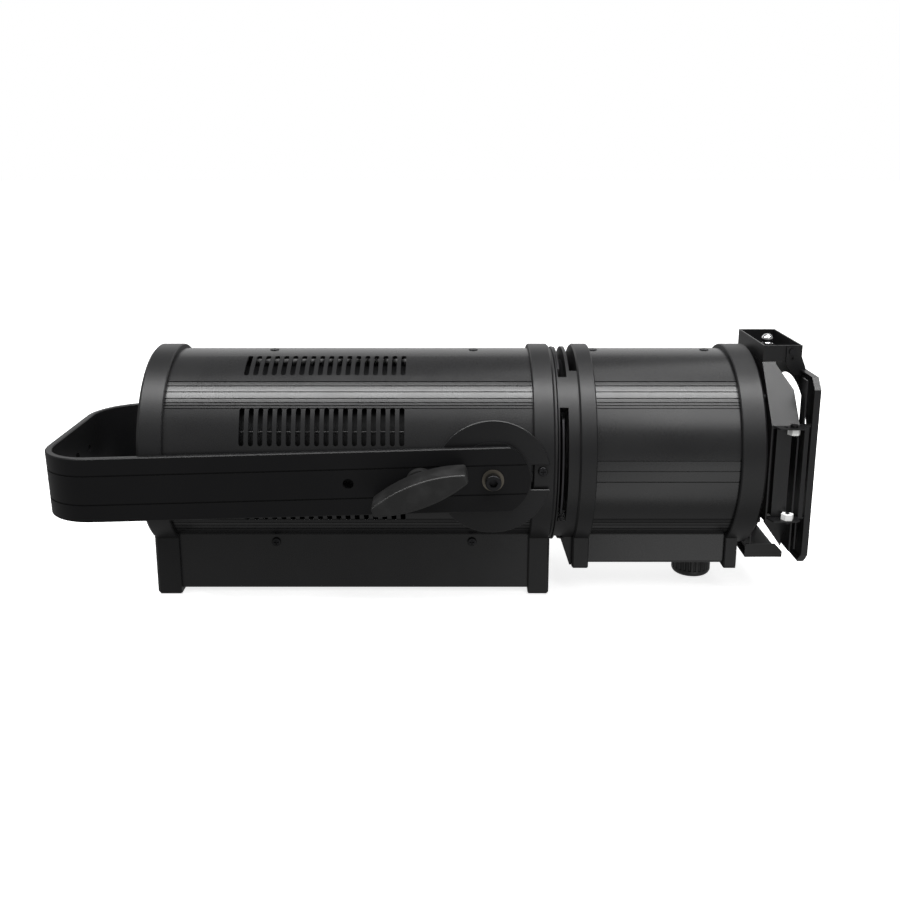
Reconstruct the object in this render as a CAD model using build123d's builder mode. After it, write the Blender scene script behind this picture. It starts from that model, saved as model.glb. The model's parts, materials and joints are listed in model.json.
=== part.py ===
"""Ellipsoidal profile spotlight: LED lamp housing, rotating shutter barrel, lens tube and yoke.

Frame: millimetres, +Z up, +X towards the light exit.  The origin lies on the surface that the
housing stands on, under the middle of the overall box.  The optical axis runs along X at AXIS_Z.
"""
import os
from math import cos, radians, sin, sqrt

from build123d import *

os.makedirs("parts", exist_ok=True)

# ---------------------------------------------------------------- driving dimensions
# Cross sections
BODY_R = 104.0             # outside radius of the ribbed shells
BODY_HALF = 57.6           # half width of the flat-sided box below the round
WALL = 2.4                 # wall of the ribbed shells
FRAME_PROUD = 4.9          # the cast frames stand this far outside the shells
FRAME_DEPTH = 13.0         # radial depth of the housing frames
FOOT_PROUD = 5.4           # feet of the frames below the shells
TRAY_JOINT_DROP = 94.7     # joint of main shell and tray, below the optical axis
TRAY_DROP = 148.6          # underside of the tray, below the optical axis
TUBE_JOINT_DROP = 101.0    # joint of lens shell and its cover, below the optical axis
TUBE_DROP = 119.6          # underside of the lens tube, below the optical axis
SEAT = 6.0                 # depth of the rebate that a shell end sits in
SEAT_GAP = 0.15            # clearance round a shell end in its rebate
CORNER_R = 4.0             # outside corners of the flat-sided boxes

# Lengths along the optical axis
REAR_FRAME_LEN = 25.8
SHELL_LEN = 374.9
MID_FRAME_LEN = 22.3
LIP_LEN = 2.2
TURN_GAP = 0.4             # axial clearance between housing and rotating barrel
GATE_LEN = 13.0
SLOT_LEN = 9.2
TUBE_REAR_LEN = 17.3
TUBE_LEN = 146.0
TUBE_FRONT_LEN = 25.1
TUBE_FOOT_LEN = 12.7       # the front frame's foot is shorter than its ring

# Ribs and vents of the shells
GROOVE_ANGLES = (37.5, 40.6, 44.7, 48.9, 51.6, 53.4, 55.2, 84.8, 90.8, 97.2)
GROOVE_W = 1.3
GROOVE_D = 0.9
VENT_PITCH = 9.55
VENT_COUNT = 18
VENT_W = 5.2
VENT_TOP_ANGLE = 22.6      # middle of the upper row, from the top of the shell
VENT_TOP_LEN = 36.0
VENT_SIDE_ANGLE = 65.6
VENT_SIDE_LEN = 39.5
VENT_FROM_SEAT = 79.5      # first vent, from the rear end of the visible shell

# Yoke and tilt pivot
PIVOT_FROM_REAR = 359.4    # pivot, ahead of the rear face
PIVOT_DROP = 5.5           # pivot, below the optical axis
PIVOT_D = 10.0
RUN_FIT = 0.05             # radial running clearance of shafts
YOKE_REACH = 463.0         # pivot to the outside of the web
YOKE_T = 7.0
YOKE_H = 67.0
YOKE_BEND_R = 58.0         # outside radius of the bends
YOKE_REST_TILT = 1.65      # the web rests this far below level
YOKE_END_R = 37.5
YOKE_GROOVE_OFFSET = 15.2
YOKE_GROOVE_W = 1.6
YOKE_GROOVE_D = 1.0
YOKE_HOLE_PITCH = 72.5
YOKE_SPARE_D = 11.0
CLAMP_HOLE_D = 13.0
DISC_R = 59.0
DISC_T = 2.0
HUB_T = 1.5
DISC_GAP = 0.5             # disc clears the mid frame by this much
ARM_GAP = 0.3              # arm clears the hub by this much
DRUM_R = 30.0
NOTCH_H = 26.0
SHOE_R = 17.0
SHOE_LIP = 3.0
SHOE_GAP = 0.25

# Wing knobs
KNOB_HUB_D = 30.0
KNOB_HUB_T = 10.0
WING_L = 98.0
WING_W = 26.0
WING_T = 35.0
WING_REST = 19.0           # the wing rests at this angle above level

# Shutter gate
GATE_R = 106.0
GATE_IN_R = 92.0
GATE_WINDOW = 35.0         # half angle of each shutter window
GATE_FLANGE = 2.0
SLOT_WINDOW = 30.0         # half angle of the drop-in slot
APERTURE_R = 42.0
BLADE_T = 0.8
BLADE_W = 100.0
BLADE_PITCH = 2.1
BLADE_EDGE_T = 1.8
BLADE_EDGE_W = 4.0
BLADE_IN_R = 56.0

# Lens tube
LENS_R = 74.0
LENS_BORE_R = 80.0         # free bore of the lens tube frames
ROD_D = 8.0
ROD_R = 87.0               # rods, from the optical axis
ROD_ANGLE = 118.0          # rods, from the top
CARRIAGE_LEN = 18.0
CARRIAGE_R = 96.0
FOCUS_FROM_FRONT = 21.0    # focus knob, behind the front frame
FOCUS_BACK = 51.3
FOCUS_AHEAD = 0.7
FOCUS_KNOB_D = 43.0
FOCUS_KNOB_T = 27.0
FOCUS_STEM_D = 8.0

# Colour frame holder; heights are from the optical axis
HOLDER_GAP = 4.6           # the holder stands off the front frame on spacers
HOLDER_DEPTH = 44.5        # back of the holder to the back of its front plate
SHEET = 1.5
HOLDER_TOP_HALF = 50.0
HOLDER_SIDE_HALF = 98.5
HOLDER_TOP = 100.8
HOLDER_KNEE = 45.0
HOLDER_LOW_KNEE = -54.0
HOLDER_BOTTOM = -115.7
SLOT_GUIDE = 11.0          # guide rail, behind the front plate
SLOT_GUIDE_LEN = 4.4
SIDE_WALL_START = 5.6      # side wall, ahead of the rear plate's back
SIDE_WALL_END = 20.6
UPPER_WALL_END = 13.5
WALL_FRONT = 28.0
JOGGLE = 8.5              # the side walls step in this far behind SIDE_WALL_START
PLATE_HALF = 100.5
PLATE_TOP = 93.0
PLATE_BOTTOM = -104.5
PLATE_CORNER = 11.0
PLATE_LIP = 5.0
PLATE_BORE_R = 78.0
RETAINER_TOP = 118.0
RETAINER_FLOOR = 101.5
RETAINER_FRONT_DROP = 22.0  # the front wall hangs this far below the rim
RETAINER_LEN = 40.2
RETAINER_FRONT_GAP = 4.0   # front wall, behind the front plate
HINGE_BACK = 10.7          # hinge of the retainer, behind its front wall
HINGE_BELOW_RIM = 6.2

# ---------------------------------------------------------------- derived places
FRAME_R = BODY_R + FRAME_PROUD
FRAME_HALF = BODY_HALF + FRAME_PROUD
FRAME_DROP = TRAY_DROP + FOOT_PROUD
TUBE_FOOT_DROP = TUBE_DROP + FRAME_PROUD
AXIS_Z = FRAME_DROP
PIVOT_Z = AXIS_Z - PIVOT_DROP

X_REAR = -PIVOT_FROM_REAR                      # stations measured from the pivot first
FRONT_STACK = (REAR_FRAME_LEN, SHELL_LEN, MID_FRAME_LEN, LIP_LEN, TURN_GAP, GATE_LEN, SLOT_LEN,
               TUBE_REAR_LEN, TUBE_LEN, TUBE_FRONT_LEN, HOLDER_GAP, HOLDER_DEPTH, SHEET)
TILT = radians(YOKE_REST_TILT)
REAR_OVERHANG = YOKE_REACH * cos(TILT) + YOKE_H / 2 * sin(TILT)
PIVOT_X = (REAR_OVERHANG - (sum(FRONT_STACK) - PIVOT_FROM_REAR)) / 2

X0 = PIVOT_X + X_REAR                          # rear face of the rear frame
X1 = X0 + REAR_FRAME_LEN                       # main shell begins
X2 = X1 + SHELL_LEN                            # mid frame begins
X3 = X2 + MID_FRAME_LEN                        # bearing lip begins
X4 = X3 + LIP_LEN
X5 = X4 + TURN_GAP                             # gate begins
X6 = X5 + GATE_LEN                             # drop-in slot ring begins
X7 = X6 + SLOT_LEN                             # lens tube's rear frame begins
X8 = X7 + TUBE_REAR_LEN                        # lens shell begins
X9 = X8 + TUBE_LEN                             # lens tube's front frame begins
X10 = X9 + TUBE_FRONT_LEN                      # spacers of the holder begin
X11 = X10 + HOLDER_GAP
X12 = X11 + HOLDER_DEPTH                       # holder's front plate begins

DISC_IN = FRAME_R + DISC_GAP
DISC_OUT = DISC_IN + DISC_T
HUB_OUT = DISC_OUT + HUB_T
ARM_IN = HUB_OUT + ARM_GAP
ARM_OUT = ARM_IN + YOKE_T
SIDES = (-1, 1)


def save(part, name):
    """Label a finished piece and write it as its own STEP file."""
    part.label = name
    export_step(part, f"parts/{name}.step")


def across(x):
    """Plane square to the optical axis at x: local x is Y, local y is Z from the axis."""
    return Plane(origin=(x, 0, AXIS_Z), x_dir=(0, 1, 0), z_dir=(1, 0, 0))


def side_plane(x, y, z, side):
    """Plane facing outwards on one side of the body; local x is X, extrusion goes outwards."""
    return Plane(origin=(x, y, z), x_dir=(1, 0, 0), z_dir=(0, side, 0))


def keyhole(radius, half, drop, corner):
    """Round body outline with a flat-sided box below it."""
    with BuildSketch() as outline:
        Circle(radius)
        with Locations((0, -drop / 2)):
            Rectangle(2 * half, drop)
        fillet(outline.vertices().group_by(Axis.Y)[0], corner)
    return outline.sketch


def grooves(radius, angles):
    """Small rectangular grooves in a round, at angles from the top, on both sides and low down."""
    low = [180 - a for a in angles if a < 60]
    with BuildSketch() as cuts:
        for angle in list(angles) + low:
            for side in SIDES:
                spot = (side * radius * sin(radians(angle)), radius * cos(radians(angle)), 0)
                with Locations(Location(spot, (0, 0, -side * angle))):
                    Rectangle(GROOVE_W, 2 * GROOVE_D)
    return cuts.sketch


SHELL_OUT = keyhole(BODY_R, BODY_HALF, TRAY_DROP, CORNER_R)
SHELL_IN = keyhole(BODY_R - WALL, BODY_HALF - WALL, TRAY_DROP - WALL, CORNER_R - WALL + 0.4)
SHELL_SEAT = keyhole(BODY_R + SEAT_GAP, BODY_HALF + SEAT_GAP, TRAY_DROP + SEAT_GAP, CORNER_R)
FRAME_OUT = keyhole(FRAME_R, FRAME_HALF, FRAME_DROP, CORNER_R)
FRAME_IN = keyhole(FRAME_R - FRAME_DEPTH, FRAME_HALF - FRAME_DEPTH, TRAY_DROP - 8, CORNER_R)
TUBE_OUT = keyhole(BODY_R, BODY_HALF, TUBE_DROP, CORNER_R)
TUBE_IN = keyhole(BODY_R - WALL, BODY_HALF - WALL, TUBE_DROP - WALL, CORNER_R - WALL + 0.4)
TUBE_SEAT = keyhole(BODY_R + SEAT_GAP, BODY_HALF + SEAT_GAP, TUBE_DROP + SEAT_GAP, CORNER_R)
TUBE_FRAME_OUT = keyhole(FRAME_R, FRAME_HALF, TUBE_FOOT_DROP, CORNER_R)
RIBS = grooves(BODY_R, GROOVE_ANGLES)

# ---------------------------------------------------------------- fastener places
SPACER_R = 93.0
SPACER_D = 10.0
NUT_AF = 11.0
NUT_T = 6.0
NUT_X = X11 + 20.5
NUT_Y = HOLDER_SIDE_HALF + NUT_AF / 2 + 0.5
HOLDER_SCREW_IN = 8.0
SCREW_HEAD_D = 9.6
SCREW_HEAD_T = 2.4
LOW_HEAD_T = 0.8           # heads along the top, nearly flush
SCREW_D = 4.0
SCREW_HOLE_D = 4.4
TOP_SCREWS = (X1 + 101.0, X2 - 59.2)           # along the top of the main shell
TRAY_SCREWS = (X1 + 104.0, X2 - 60.7)          # on the joint line of shell and tray
TUBE_TOP_SCREWS = (X8 + 5.3, X9 - 20.0)
NOTCH_SCREW = (PIVOT_X + 50.7, PIVOT_Z + 5.5)


# ---------------------------------------------------------------- housing frames
PANEL_T = 2.0
PANEL_RECESS = 4.0
PANEL_MARGIN = 5.0
PANEL_SCREW_IN = 8.0
PANEL_SCREW_R = FRAME_R - (FRAME_DEPTH + PANEL_MARGIN) / 2
PANEL_SCREW_HALF = FRAME_HALF - (FRAME_DEPTH + PANEL_MARGIN) / 2
PANEL_SCREW_ANGLES = (-110, -40, 40, 110)      # from the top
PANEL_SCREWS = [(PANEL_SCREW_R * sin(radians(angle)), PANEL_SCREW_R * cos(radians(angle)))
                for angle in PANEL_SCREW_ANGLES]
PANEL_SCREWS += [(side * PANEL_SCREW_HALF, -TRAY_DROP + 22) for side in SIDES]
PANEL_OUT = keyhole(FRAME_R - PANEL_MARGIN, FRAME_HALF - PANEL_MARGIN, TRAY_DROP - 2, CORNER_R)
PANEL_GAP = 0.3
PANEL_FIT = keyhole(FRAME_R - PANEL_MARGIN - PANEL_GAP, FRAME_HALF - PANEL_MARGIN - PANEL_GAP,
                    TRAY_DROP - 2 - PANEL_GAP, CORNER_R)

with BuildPart() as rear_frame:
    with BuildSketch(across(X0)):
        add(FRAME_OUT)
    extrude(amount=REAR_FRAME_LEN)
    chamfer(rear_frame.faces().sort_by(Axis.X)[0].outer_wire().edges(), 3.0)
    chamfer(rear_frame.faces().sort_by(Axis.X)[-1].outer_wire().edges(), 1.0)
    with BuildSketch(across(X0)):
        add(FRAME_IN)
    extrude(amount=REAR_FRAME_LEN, mode=Mode.SUBTRACT)
    with BuildSketch(across(X0)):
        add(PANEL_OUT)
    extrude(amount=PANEL_RECESS + PANEL_T, mode=Mode.SUBTRACT)
    with BuildSketch(across(X1)):
        add(SHELL_SEAT)
    extrude(amount=-SEAT, mode=Mode.SUBTRACT)
    with BuildSketch(across(X0 + PANEL_RECESS + PANEL_T)):
        with Locations(*PANEL_SCREWS):
            Circle(SCREW_HOLE_D / 2)
    extrude(amount=PANEL_SCREW_IN + 1, mode=Mode.SUBTRACT)
save(rear_frame.part, "rear_frame")

with BuildPart() as mid_frame:
    with BuildSketch(across(X2)):
        add(FRAME_OUT)
    extrude(amount=MID_FRAME_LEN)
    chamfer(mid_frame.faces().sort_by(Axis.X)[0].outer_wire().edges(), 1.0)
    chamfer(mid_frame.faces().sort_by(Axis.X)[-1].outer_wire().edges(), 2.0)
    with BuildSketch(across(X2)):
        Circle(GATE_IN_R)
    extrude(amount=MID_FRAME_LEN, mode=Mode.SUBTRACT)
    with BuildSketch(across(X2)):
        add(SHELL_SEAT)
    extrude(amount=SEAT, mode=Mode.SUBTRACT)
    with BuildSketch(across(X2 + SEAT)):
        add(FRAME_IN)
    extrude(amount=MID_FRAME_LEN - SEAT - 5.0, mode=Mode.SUBTRACT)
    for side in SIDES:
        with BuildSketch(side_plane(NOTCH_SCREW[0], 0, NOTCH_SCREW[1], side)):
            Circle(SCREW_D / 2)
        extrude(amount=FRAME_R + 5, mode=Mode.SUBTRACT)
save(mid_frame.part, "mid_frame")

# ---------------------------------------------------------------- main shell and tray
with BuildPart() as main_shell:
    with BuildSketch(across(X1 - SEAT)):
        add(SHELL_OUT)
        add(SHELL_IN, mode=Mode.SUBTRACT)
        add(RIBS, mode=Mode.SUBTRACT)
        with Locations((0, -TRAY_JOINT_DROP - TRAY_DROP / 2)):
            Rectangle(4 * BODY_R, TRAY_DROP, mode=Mode.SUBTRACT)
    extrude(amount=SHELL_LEN + 2 * SEAT)
    vent_mid = X1 + VENT_FROM_SEAT + VENT_PITCH * (VENT_COUNT - 1) / 2
    for angle, length in ((VENT_TOP_ANGLE, VENT_TOP_LEN), (VENT_SIDE_ANGLE, VENT_SIDE_LEN),
                          (180 - VENT_SIDE_ANGLE, VENT_SIDE_LEN)):
        for side in SIDES:
            out = (0, side * sin(radians(angle)), cos(radians(angle)))
            spot = (vent_mid, BODY_R * out[1], AXIS_Z + BODY_R * out[2])
            with BuildSketch(Plane(origin=spot, x_dir=(1, 0, 0), z_dir=out)):
                with GridLocations(VENT_PITCH, 0, VENT_COUNT, 1):
                    SlotOverall(length, VENT_W, rotation=90)
            extrude(amount=3 * WALL, both=True, mode=Mode.SUBTRACT)
    with BuildSketch(Plane.XY.offset(AXIS_Z)):
        with Locations(*[(x, 0) for x in TOP_SCREWS]):
            Circle(SCREW_HOLE_D / 2)
    extrude(amount=2 * BODY_R, mode=Mode.SUBTRACT)
    with BuildSketch(Plane.XZ.offset(-2 * BODY_R)):
        with Locations((PIVOT_X, PIVOT_Z)):
            Circle(PIVOT_D / 2 + 0.5)
        with Locations(*[(x, AXIS_Z - TRAY_JOINT_DROP) for x in TRAY_SCREWS]):
            Circle(SCREW_HOLE_D / 2)
    extrude(amount=4 * BODY_R, mode=Mode.SUBTRACT)
save(main_shell.part, "main_shell")

with BuildPart() as bottom_tray:
    with BuildSketch(across(X1 - SEAT)):
        add(SHELL_OUT)
        add(SHELL_IN, mode=Mode.SUBTRACT)
        with Locations((0, -TRAY_JOINT_DROP + 2 * BODY_R)):
            Rectangle(4 * BODY_R, 4 * BODY_R, mode=Mode.SUBTRACT)
    extrude(amount=SHELL_LEN + 2 * SEAT)
    for side in SIDES:
        with BuildSketch(across(X1 + 10)):
            with Locations((side * (BODY_HALF - WALL - 1.1), -TRAY_JOINT_DROP)):
                Rectangle(2.0, 16.0)
            with Locations((side * (BODY_HALF - WALL - 0.6), -TRAY_JOINT_DROP - 6)):
                Rectangle(1.4, 4.0)
        extrude(amount=SHELL_LEN - 20)
    with BuildSketch(Plane.XZ.offset(-2 * BODY_R)):
        with Locations(*[(x, AXIS_Z - TRAY_JOINT_DROP) for x in TRAY_SCREWS]):
            Circle(SCREW_D / 2)
    extrude(amount=4 * BODY_R, mode=Mode.SUBTRACT)
save(bottom_tray.part, "bottom_tray")

# ---------------------------------------------------------------- tilt pivot, both sides
with BuildPart() as pivot_blocks:
    with BuildSketch(across(PIVOT_X - 26)):
        for side in SIDES:
            with Locations((side * (BODY_R - 14), -PIVOT_DROP)):
                Rectangle(28, 44)
    extrude(amount=52)
    with BuildSketch(across(PIVOT_X - 26)):
        Circle(BODY_R - WALL)
    extrude(amount=52, mode=Mode.INTERSECT)
    with BuildSketch(Plane.XZ.offset(-2 * BODY_R)):
        with Locations((PIVOT_X, PIVOT_Z)):
            Circle(PIVOT_D / 2)
    extrude(amount=4 * BODY_R, mode=Mode.SUBTRACT)
save(pivot_blocks.part, "pivot_blocks")

for side, label in zip(SIDES, ("tilt_disc_right", "tilt_disc_left")):
    with BuildPart() as tilt_disc:
        with BuildSketch(side_plane(PIVOT_X, side * (BODY_R - 20), PIVOT_Z, side)):
            Circle(DRUM_R)
        extrude(amount=DISC_IN - BODY_R + 20)
        with BuildSketch(across(PIVOT_X - DRUM_R - 1)):
            Circle(BODY_R)
        extrude(amount=2 * DRUM_R + 2, mode=Mode.SUBTRACT)
        with BuildSketch(side_plane(PIVOT_X, side * DISC_IN, PIVOT_Z, side)):
            Circle(DISC_R)
            with Locations((DISC_R, 0)):
                Rectangle(2 * (DISC_R - YOKE_END_R - 1.5), NOTCH_H, mode=Mode.SUBTRACT)
        extrude(amount=DISC_T)
        chamfer(tilt_disc.faces().sort_by(Axis.Y)[-1 if side > 0 else 0].outer_wire().edges(), 0.5)
        with BuildSketch(side_plane(PIVOT_X, side * DISC_OUT, PIVOT_Z, side)):
            Circle(YOKE_END_R)
        extrude(amount=HUB_T)
        with BuildSketch(side_plane(PIVOT_X, side * (BODY_R - 20), PIVOT_Z, side)):
            Circle(PIVOT_D / 2)
        extrude(amount=40, mode=Mode.SUBTRACT)
    save(tilt_disc.part, label)

WASHER_D = 22.0
WASHER_T = 2.0
WASHER_GAP = 0.1
BOLT_HEAD_D = 16.0
BOLT_HEAD_T = 10.0
BOLT_SOCKET_D = 9.2
BOLT_SOCKET_DEPTH = 5.5
with BuildPart() as pivot_bolts:
    for side in SIDES:
        with BuildSketch(side_plane(PIVOT_X, side * (BODY_R - 24), PIVOT_Z, side)):
            Circle(PIVOT_D / 2)
        extrude(amount=ARM_OUT + WASHER_GAP - BODY_R + 24 + WASHER_T)
        head_plane = side_plane(PIVOT_X, side * (ARM_OUT + WASHER_GAP + WASHER_T), PIVOT_Z, side)
        with BuildSketch(head_plane):
            Circle(BOLT_HEAD_D / 2)
        extrude(amount=BOLT_HEAD_T)
        head = pivot_bolts.faces().sort_by(Axis.Y)[-1 if side > 0 else 0]
        fillet(head.outer_wire().edges(), 1.2)
        with BuildSketch(head_plane.offset(BOLT_HEAD_T)):
            RegularPolygon(BOLT_SOCKET_D / 2, 6)
        extrude(amount=-BOLT_SOCKET_DEPTH, mode=Mode.SUBTRACT)
save(pivot_bolts.part, "pivot_bolts")

with BuildPart() as pivot_washers:
    for side in SIDES:
        with BuildSketch(side_plane(PIVOT_X, side * (ARM_OUT + WASHER_GAP), PIVOT_Z, side)):
            Circle(WASHER_D / 2)
            Circle(PIVOT_D / 2, mode=Mode.SUBTRACT)
        extrude(amount=WASHER_T)
save(pivot_washers.part, "pivot_washers")

# ---------------------------------------------------------------- yoke
FORWARD = (cos(TILT), 0, sin(TILT))
UPWARD = (-sin(TILT), 0, cos(TILT))


def yoke_plane(height):
    """Plane of the yoke's U: local x runs forwards along the arms, local y is Y."""
    centre = Vector(PIVOT_X, 0, PIVOT_Z) + height * Vector(*UPWARD)
    return Plane(origin=centre, x_dir=FORWARD, z_dir=UPWARD)


def arm_plane(along, offset, side):
    """Plane facing outwards from one arm, at a distance forwards from the pivot."""
    centre = Vector(PIVOT_X, side * offset, PIVOT_Z) + along * Vector(*FORWARD)
    return Plane(origin=centre, x_dir=FORWARD, z_dir=(0, side, 0))


def yoke_band(outside, thickness, bend):
    """U-shaped band, open to the front, as a flat sketch."""
    front = YOKE_END_R + 5
    reach = YOKE_REACH - (ARM_OUT - outside)
    inner = outside - thickness
    with BuildSketch() as band:
        with BuildLine():
            outer_line = FilletPolyline((front, outside), (-reach, outside), (-reach, -outside),
                                        (front, -outside), radius=bend)
            inner_line = FilletPolyline((front, inner), (thickness - reach, inner),
                                        (thickness - reach, -inner), (front, -inner),
                                        radius=bend - thickness)
            Line(outer_line @ 0, inner_line @ 0)
            Line(outer_line @ 1, inner_line @ 1)
        make_face()
    return band.sketch


YOKE_BAND = yoke_band(ARM_OUT, YOKE_T, YOKE_BEND_R)
YOKE_SKIN = yoke_band(ARM_OUT, YOKE_GROOVE_D, YOKE_BEND_R)
KNOB_ALONG = -YOKE_HOLE_PITCH
with BuildPart() as yoke:
    with BuildSketch(yoke_plane(-YOKE_H / 2)):
        add(YOKE_BAND)
    extrude(amount=YOKE_H)
    chamfer(yoke.faces().sort_by(Axis(origin=(0, 0, 0), direction=UPWARD))[-1].edges(), 1.0)
    chamfer(yoke.faces().sort_by(Axis(origin=(0, 0, 0), direction=UPWARD))[0].edges(), 1.0)
    with BuildSketch(arm_plane(0, 0, 1)):
        with Locations((-YOKE_REACH, 0)):
            Rectangle(2 * YOKE_REACH, 2 * YOKE_H)
        Circle(YOKE_END_R)
    extrude(amount=ARM_OUT + 10, both=True, mode=Mode.INTERSECT)
    for height in (-YOKE_GROOVE_OFFSET, YOKE_GROOVE_OFFSET):
        with BuildSketch(yoke_plane(height - YOKE_GROOVE_W / 2)):
            add(YOKE_SKIN)
        extrude(amount=YOKE_GROOVE_W, mode=Mode.SUBTRACT)
    with BuildSketch(arm_plane(0, 0, 1)):
        Circle(PIVOT_D / 2 + RUN_FIT)
        with Locations((KNOB_ALONG, 0)):
            Circle(PIVOT_D / 2 + RUN_FIT)
        with Locations((2 * KNOB_ALONG, 0)):
            Circle(YOKE_SPARE_D / 2)
    extrude(amount=ARM_OUT + 10, both=True, mode=Mode.SUBTRACT)
    web_out = Vector(PIVOT_X, 0, PIVOT_Z) - (YOKE_REACH + 1) * Vector(*FORWARD)
    with BuildSketch(Plane(origin=web_out, x_dir=(0, 1, 0), z_dir=FORWARD)):
        Circle(CLAMP_HOLE_D / 2)
        with Locations((-40, 0), (40, 0)):
            Circle(4.2)
    extrude(amount=YOKE_T + 2, mode=Mode.SUBTRACT)
save(yoke.part, "yoke")

# Jaws that ride on the rims of the tilt discs and are drawn up by the wing knobs
with BuildPart() as tilt_jaws:
    for side in SIDES:
        with BuildSketch(arm_plane(KNOB_ALONG, DISC_IN - SHOE_GAP - SHOE_LIP, side)):
            Circle(SHOE_R)
        extrude(amount=ARM_IN - DISC_IN + SHOE_GAP + SHOE_LIP)
        with BuildSketch(arm_plane(0, DISC_IN - SHOE_GAP, side)):
            Circle(DISC_R + SHOE_GAP)
        extrude(amount=DISC_T + 2 * SHOE_GAP, mode=Mode.SUBTRACT)
        with BuildSketch(arm_plane(KNOB_ALONG, 0, side)):
            Circle(PIVOT_D / 2 + RUN_FIT)
        extrude(amount=ARM_OUT, mode=Mode.SUBTRACT)
save(tilt_jaws.part, "tilt_jaws")

WING_END_W = 9.0
KNOB_GAP = 0.2
for side, label in zip(SIDES, ("tilt_knob_right", "tilt_knob_left")):
    rise = radians(WING_REST + YOKE_REST_TILT)
    knob_at = Vector(PIVOT_X, 0, PIVOT_Z) + KNOB_ALONG * Vector(*FORWARD)
    wing_plane = Plane(origin=knob_at + Vector(0, side * (ARM_OUT + KNOB_GAP + KNOB_HUB_T), 0),
                       x_dir=(cos(rise), 0, sin(rise)), z_dir=(0, side, 0))
    with BuildPart() as tilt_knob:
        with BuildSketch(arm_plane(KNOB_ALONG, DISC_IN - SHOE_GAP - SHOE_LIP, side)):
            Circle(PIVOT_D / 2)
        extrude(amount=ARM_OUT + KNOB_GAP - DISC_IN + SHOE_GAP + SHOE_LIP)
        with BuildSketch(arm_plane(KNOB_ALONG, ARM_OUT + KNOB_GAP, side)):
            Circle(KNOB_HUB_D / 2)
        extrude(amount=KNOB_HUB_T)
        with BuildSketch(wing_plane):
            with BuildLine():
                tip = WING_L / 2
                upper = ThreePointArc((-tip, WING_END_W / 2), (0, WING_W / 2), (tip, WING_END_W / 2))
                lower = ThreePointArc((-tip, -WING_END_W / 2), (0, -WING_W / 2), (tip, -WING_END_W / 2))
                Line(upper @ 0, lower @ 0)
                Line(upper @ 1, lower @ 1)
            make_face()
        extrude(amount=WING_T)
        fillet(tilt_knob.edges().filter_by(Axis.Y).filter_by(lambda e: e.length > WING_T - 1), 3.0)
        fillet(tilt_knob.faces().sort_by(Axis.Y)[-1 if side > 0 else 0].edges(), 2.0)
    save(tilt_knob.part, label)

# ---------------------------------------------------------------- bearing between housing and barrel
BEARING_LIP_R = 104.4
SLEEVE_R = 89.0
SLEEVE_T = 3.0
SLEEVE_FIT = 0.08
SLEEVE_REACH = 1.4            # how far the sleeve runs into the gate
with BuildPart() as barrel_bearing:
    with BuildSketch(across(X3)):
        Circle(BEARING_LIP_R)
        Circle(SLEEVE_R - SLEEVE_T, mode=Mode.SUBTRACT)
    extrude(amount=LIP_LEN)
    with BuildSketch(across(X4)):
        Circle(SLEEVE_R)
        Circle(SLEEVE_R - SLEEVE_T, mode=Mode.SUBTRACT)
    extrude(amount=TURN_GAP + SLEEVE_REACH)
save(barrel_bearing.part, "barrel_bearing")

# ---------------------------------------------------------------- shutter gate (turns with the barrel)
def sector(radius, middle, half_angle):
    """Pie slice about the axis; angles run from the top towards +Y."""
    left = radians(middle - half_angle)
    right = radians(middle + half_angle)
    with BuildSketch() as slice_face:
        with BuildLine():
            start = (radius * sin(left), radius * cos(left))
            stop = (radius * sin(right), radius * cos(right))
            centre = (radius * sin(radians(middle)), radius * cos(radians(middle)))
            Line((0, 0), start)
            ThreePointArc(start, centre, stop)
            Line(stop, (0, 0))
        make_face()
    return slice_face.sketch


SHUTTER_SIDES = (("shutter_top", 0, 0), ("shutter_right", 270, 1),
                 ("shutter_left", 90, 2), ("shutter_bottom", 180, 3))
FIRST_BLADE = X5 + GATE_LEN / 2 - 1.5 * BLADE_PITCH
WINDOW_LEN = GATE_LEN - 2 * GATE_FLANGE
with BuildPart() as gate_ring:
    with BuildSketch(across(X5)):
        Circle(GATE_R)
        Circle(GATE_IN_R, mode=Mode.SUBTRACT)
    extrude(amount=GATE_LEN)
    chamfer(gate_ring.faces().sort_by(Axis.X)[0].outer_wire().edges(), 0.8)
    for _, middle, _ in SHUTTER_SIDES:
        with BuildSketch(across(X5 + GATE_FLANGE)):
            add(sector(GATE_R + 5, middle, GATE_WINDOW))
        extrude(amount=WINDOW_LEN, mode=Mode.SUBTRACT)
save(gate_ring.part, "gate_ring")

with BuildPart() as gate_plates:
    for start in (X5, X6 - GATE_FLANGE):
        with BuildSketch(across(start)):
            Circle(GATE_IN_R)
            Circle(APERTURE_R, mode=Mode.SUBTRACT)
        extrude(amount=GATE_FLANGE)
    with BuildSketch(across(X5)):
        Circle(SLEEVE_R + SLEEVE_FIT)
    extrude(amount=SLEEVE_REACH + 0.1, mode=Mode.SUBTRACT)
save(gate_plates.part, "gate_plates")

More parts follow.
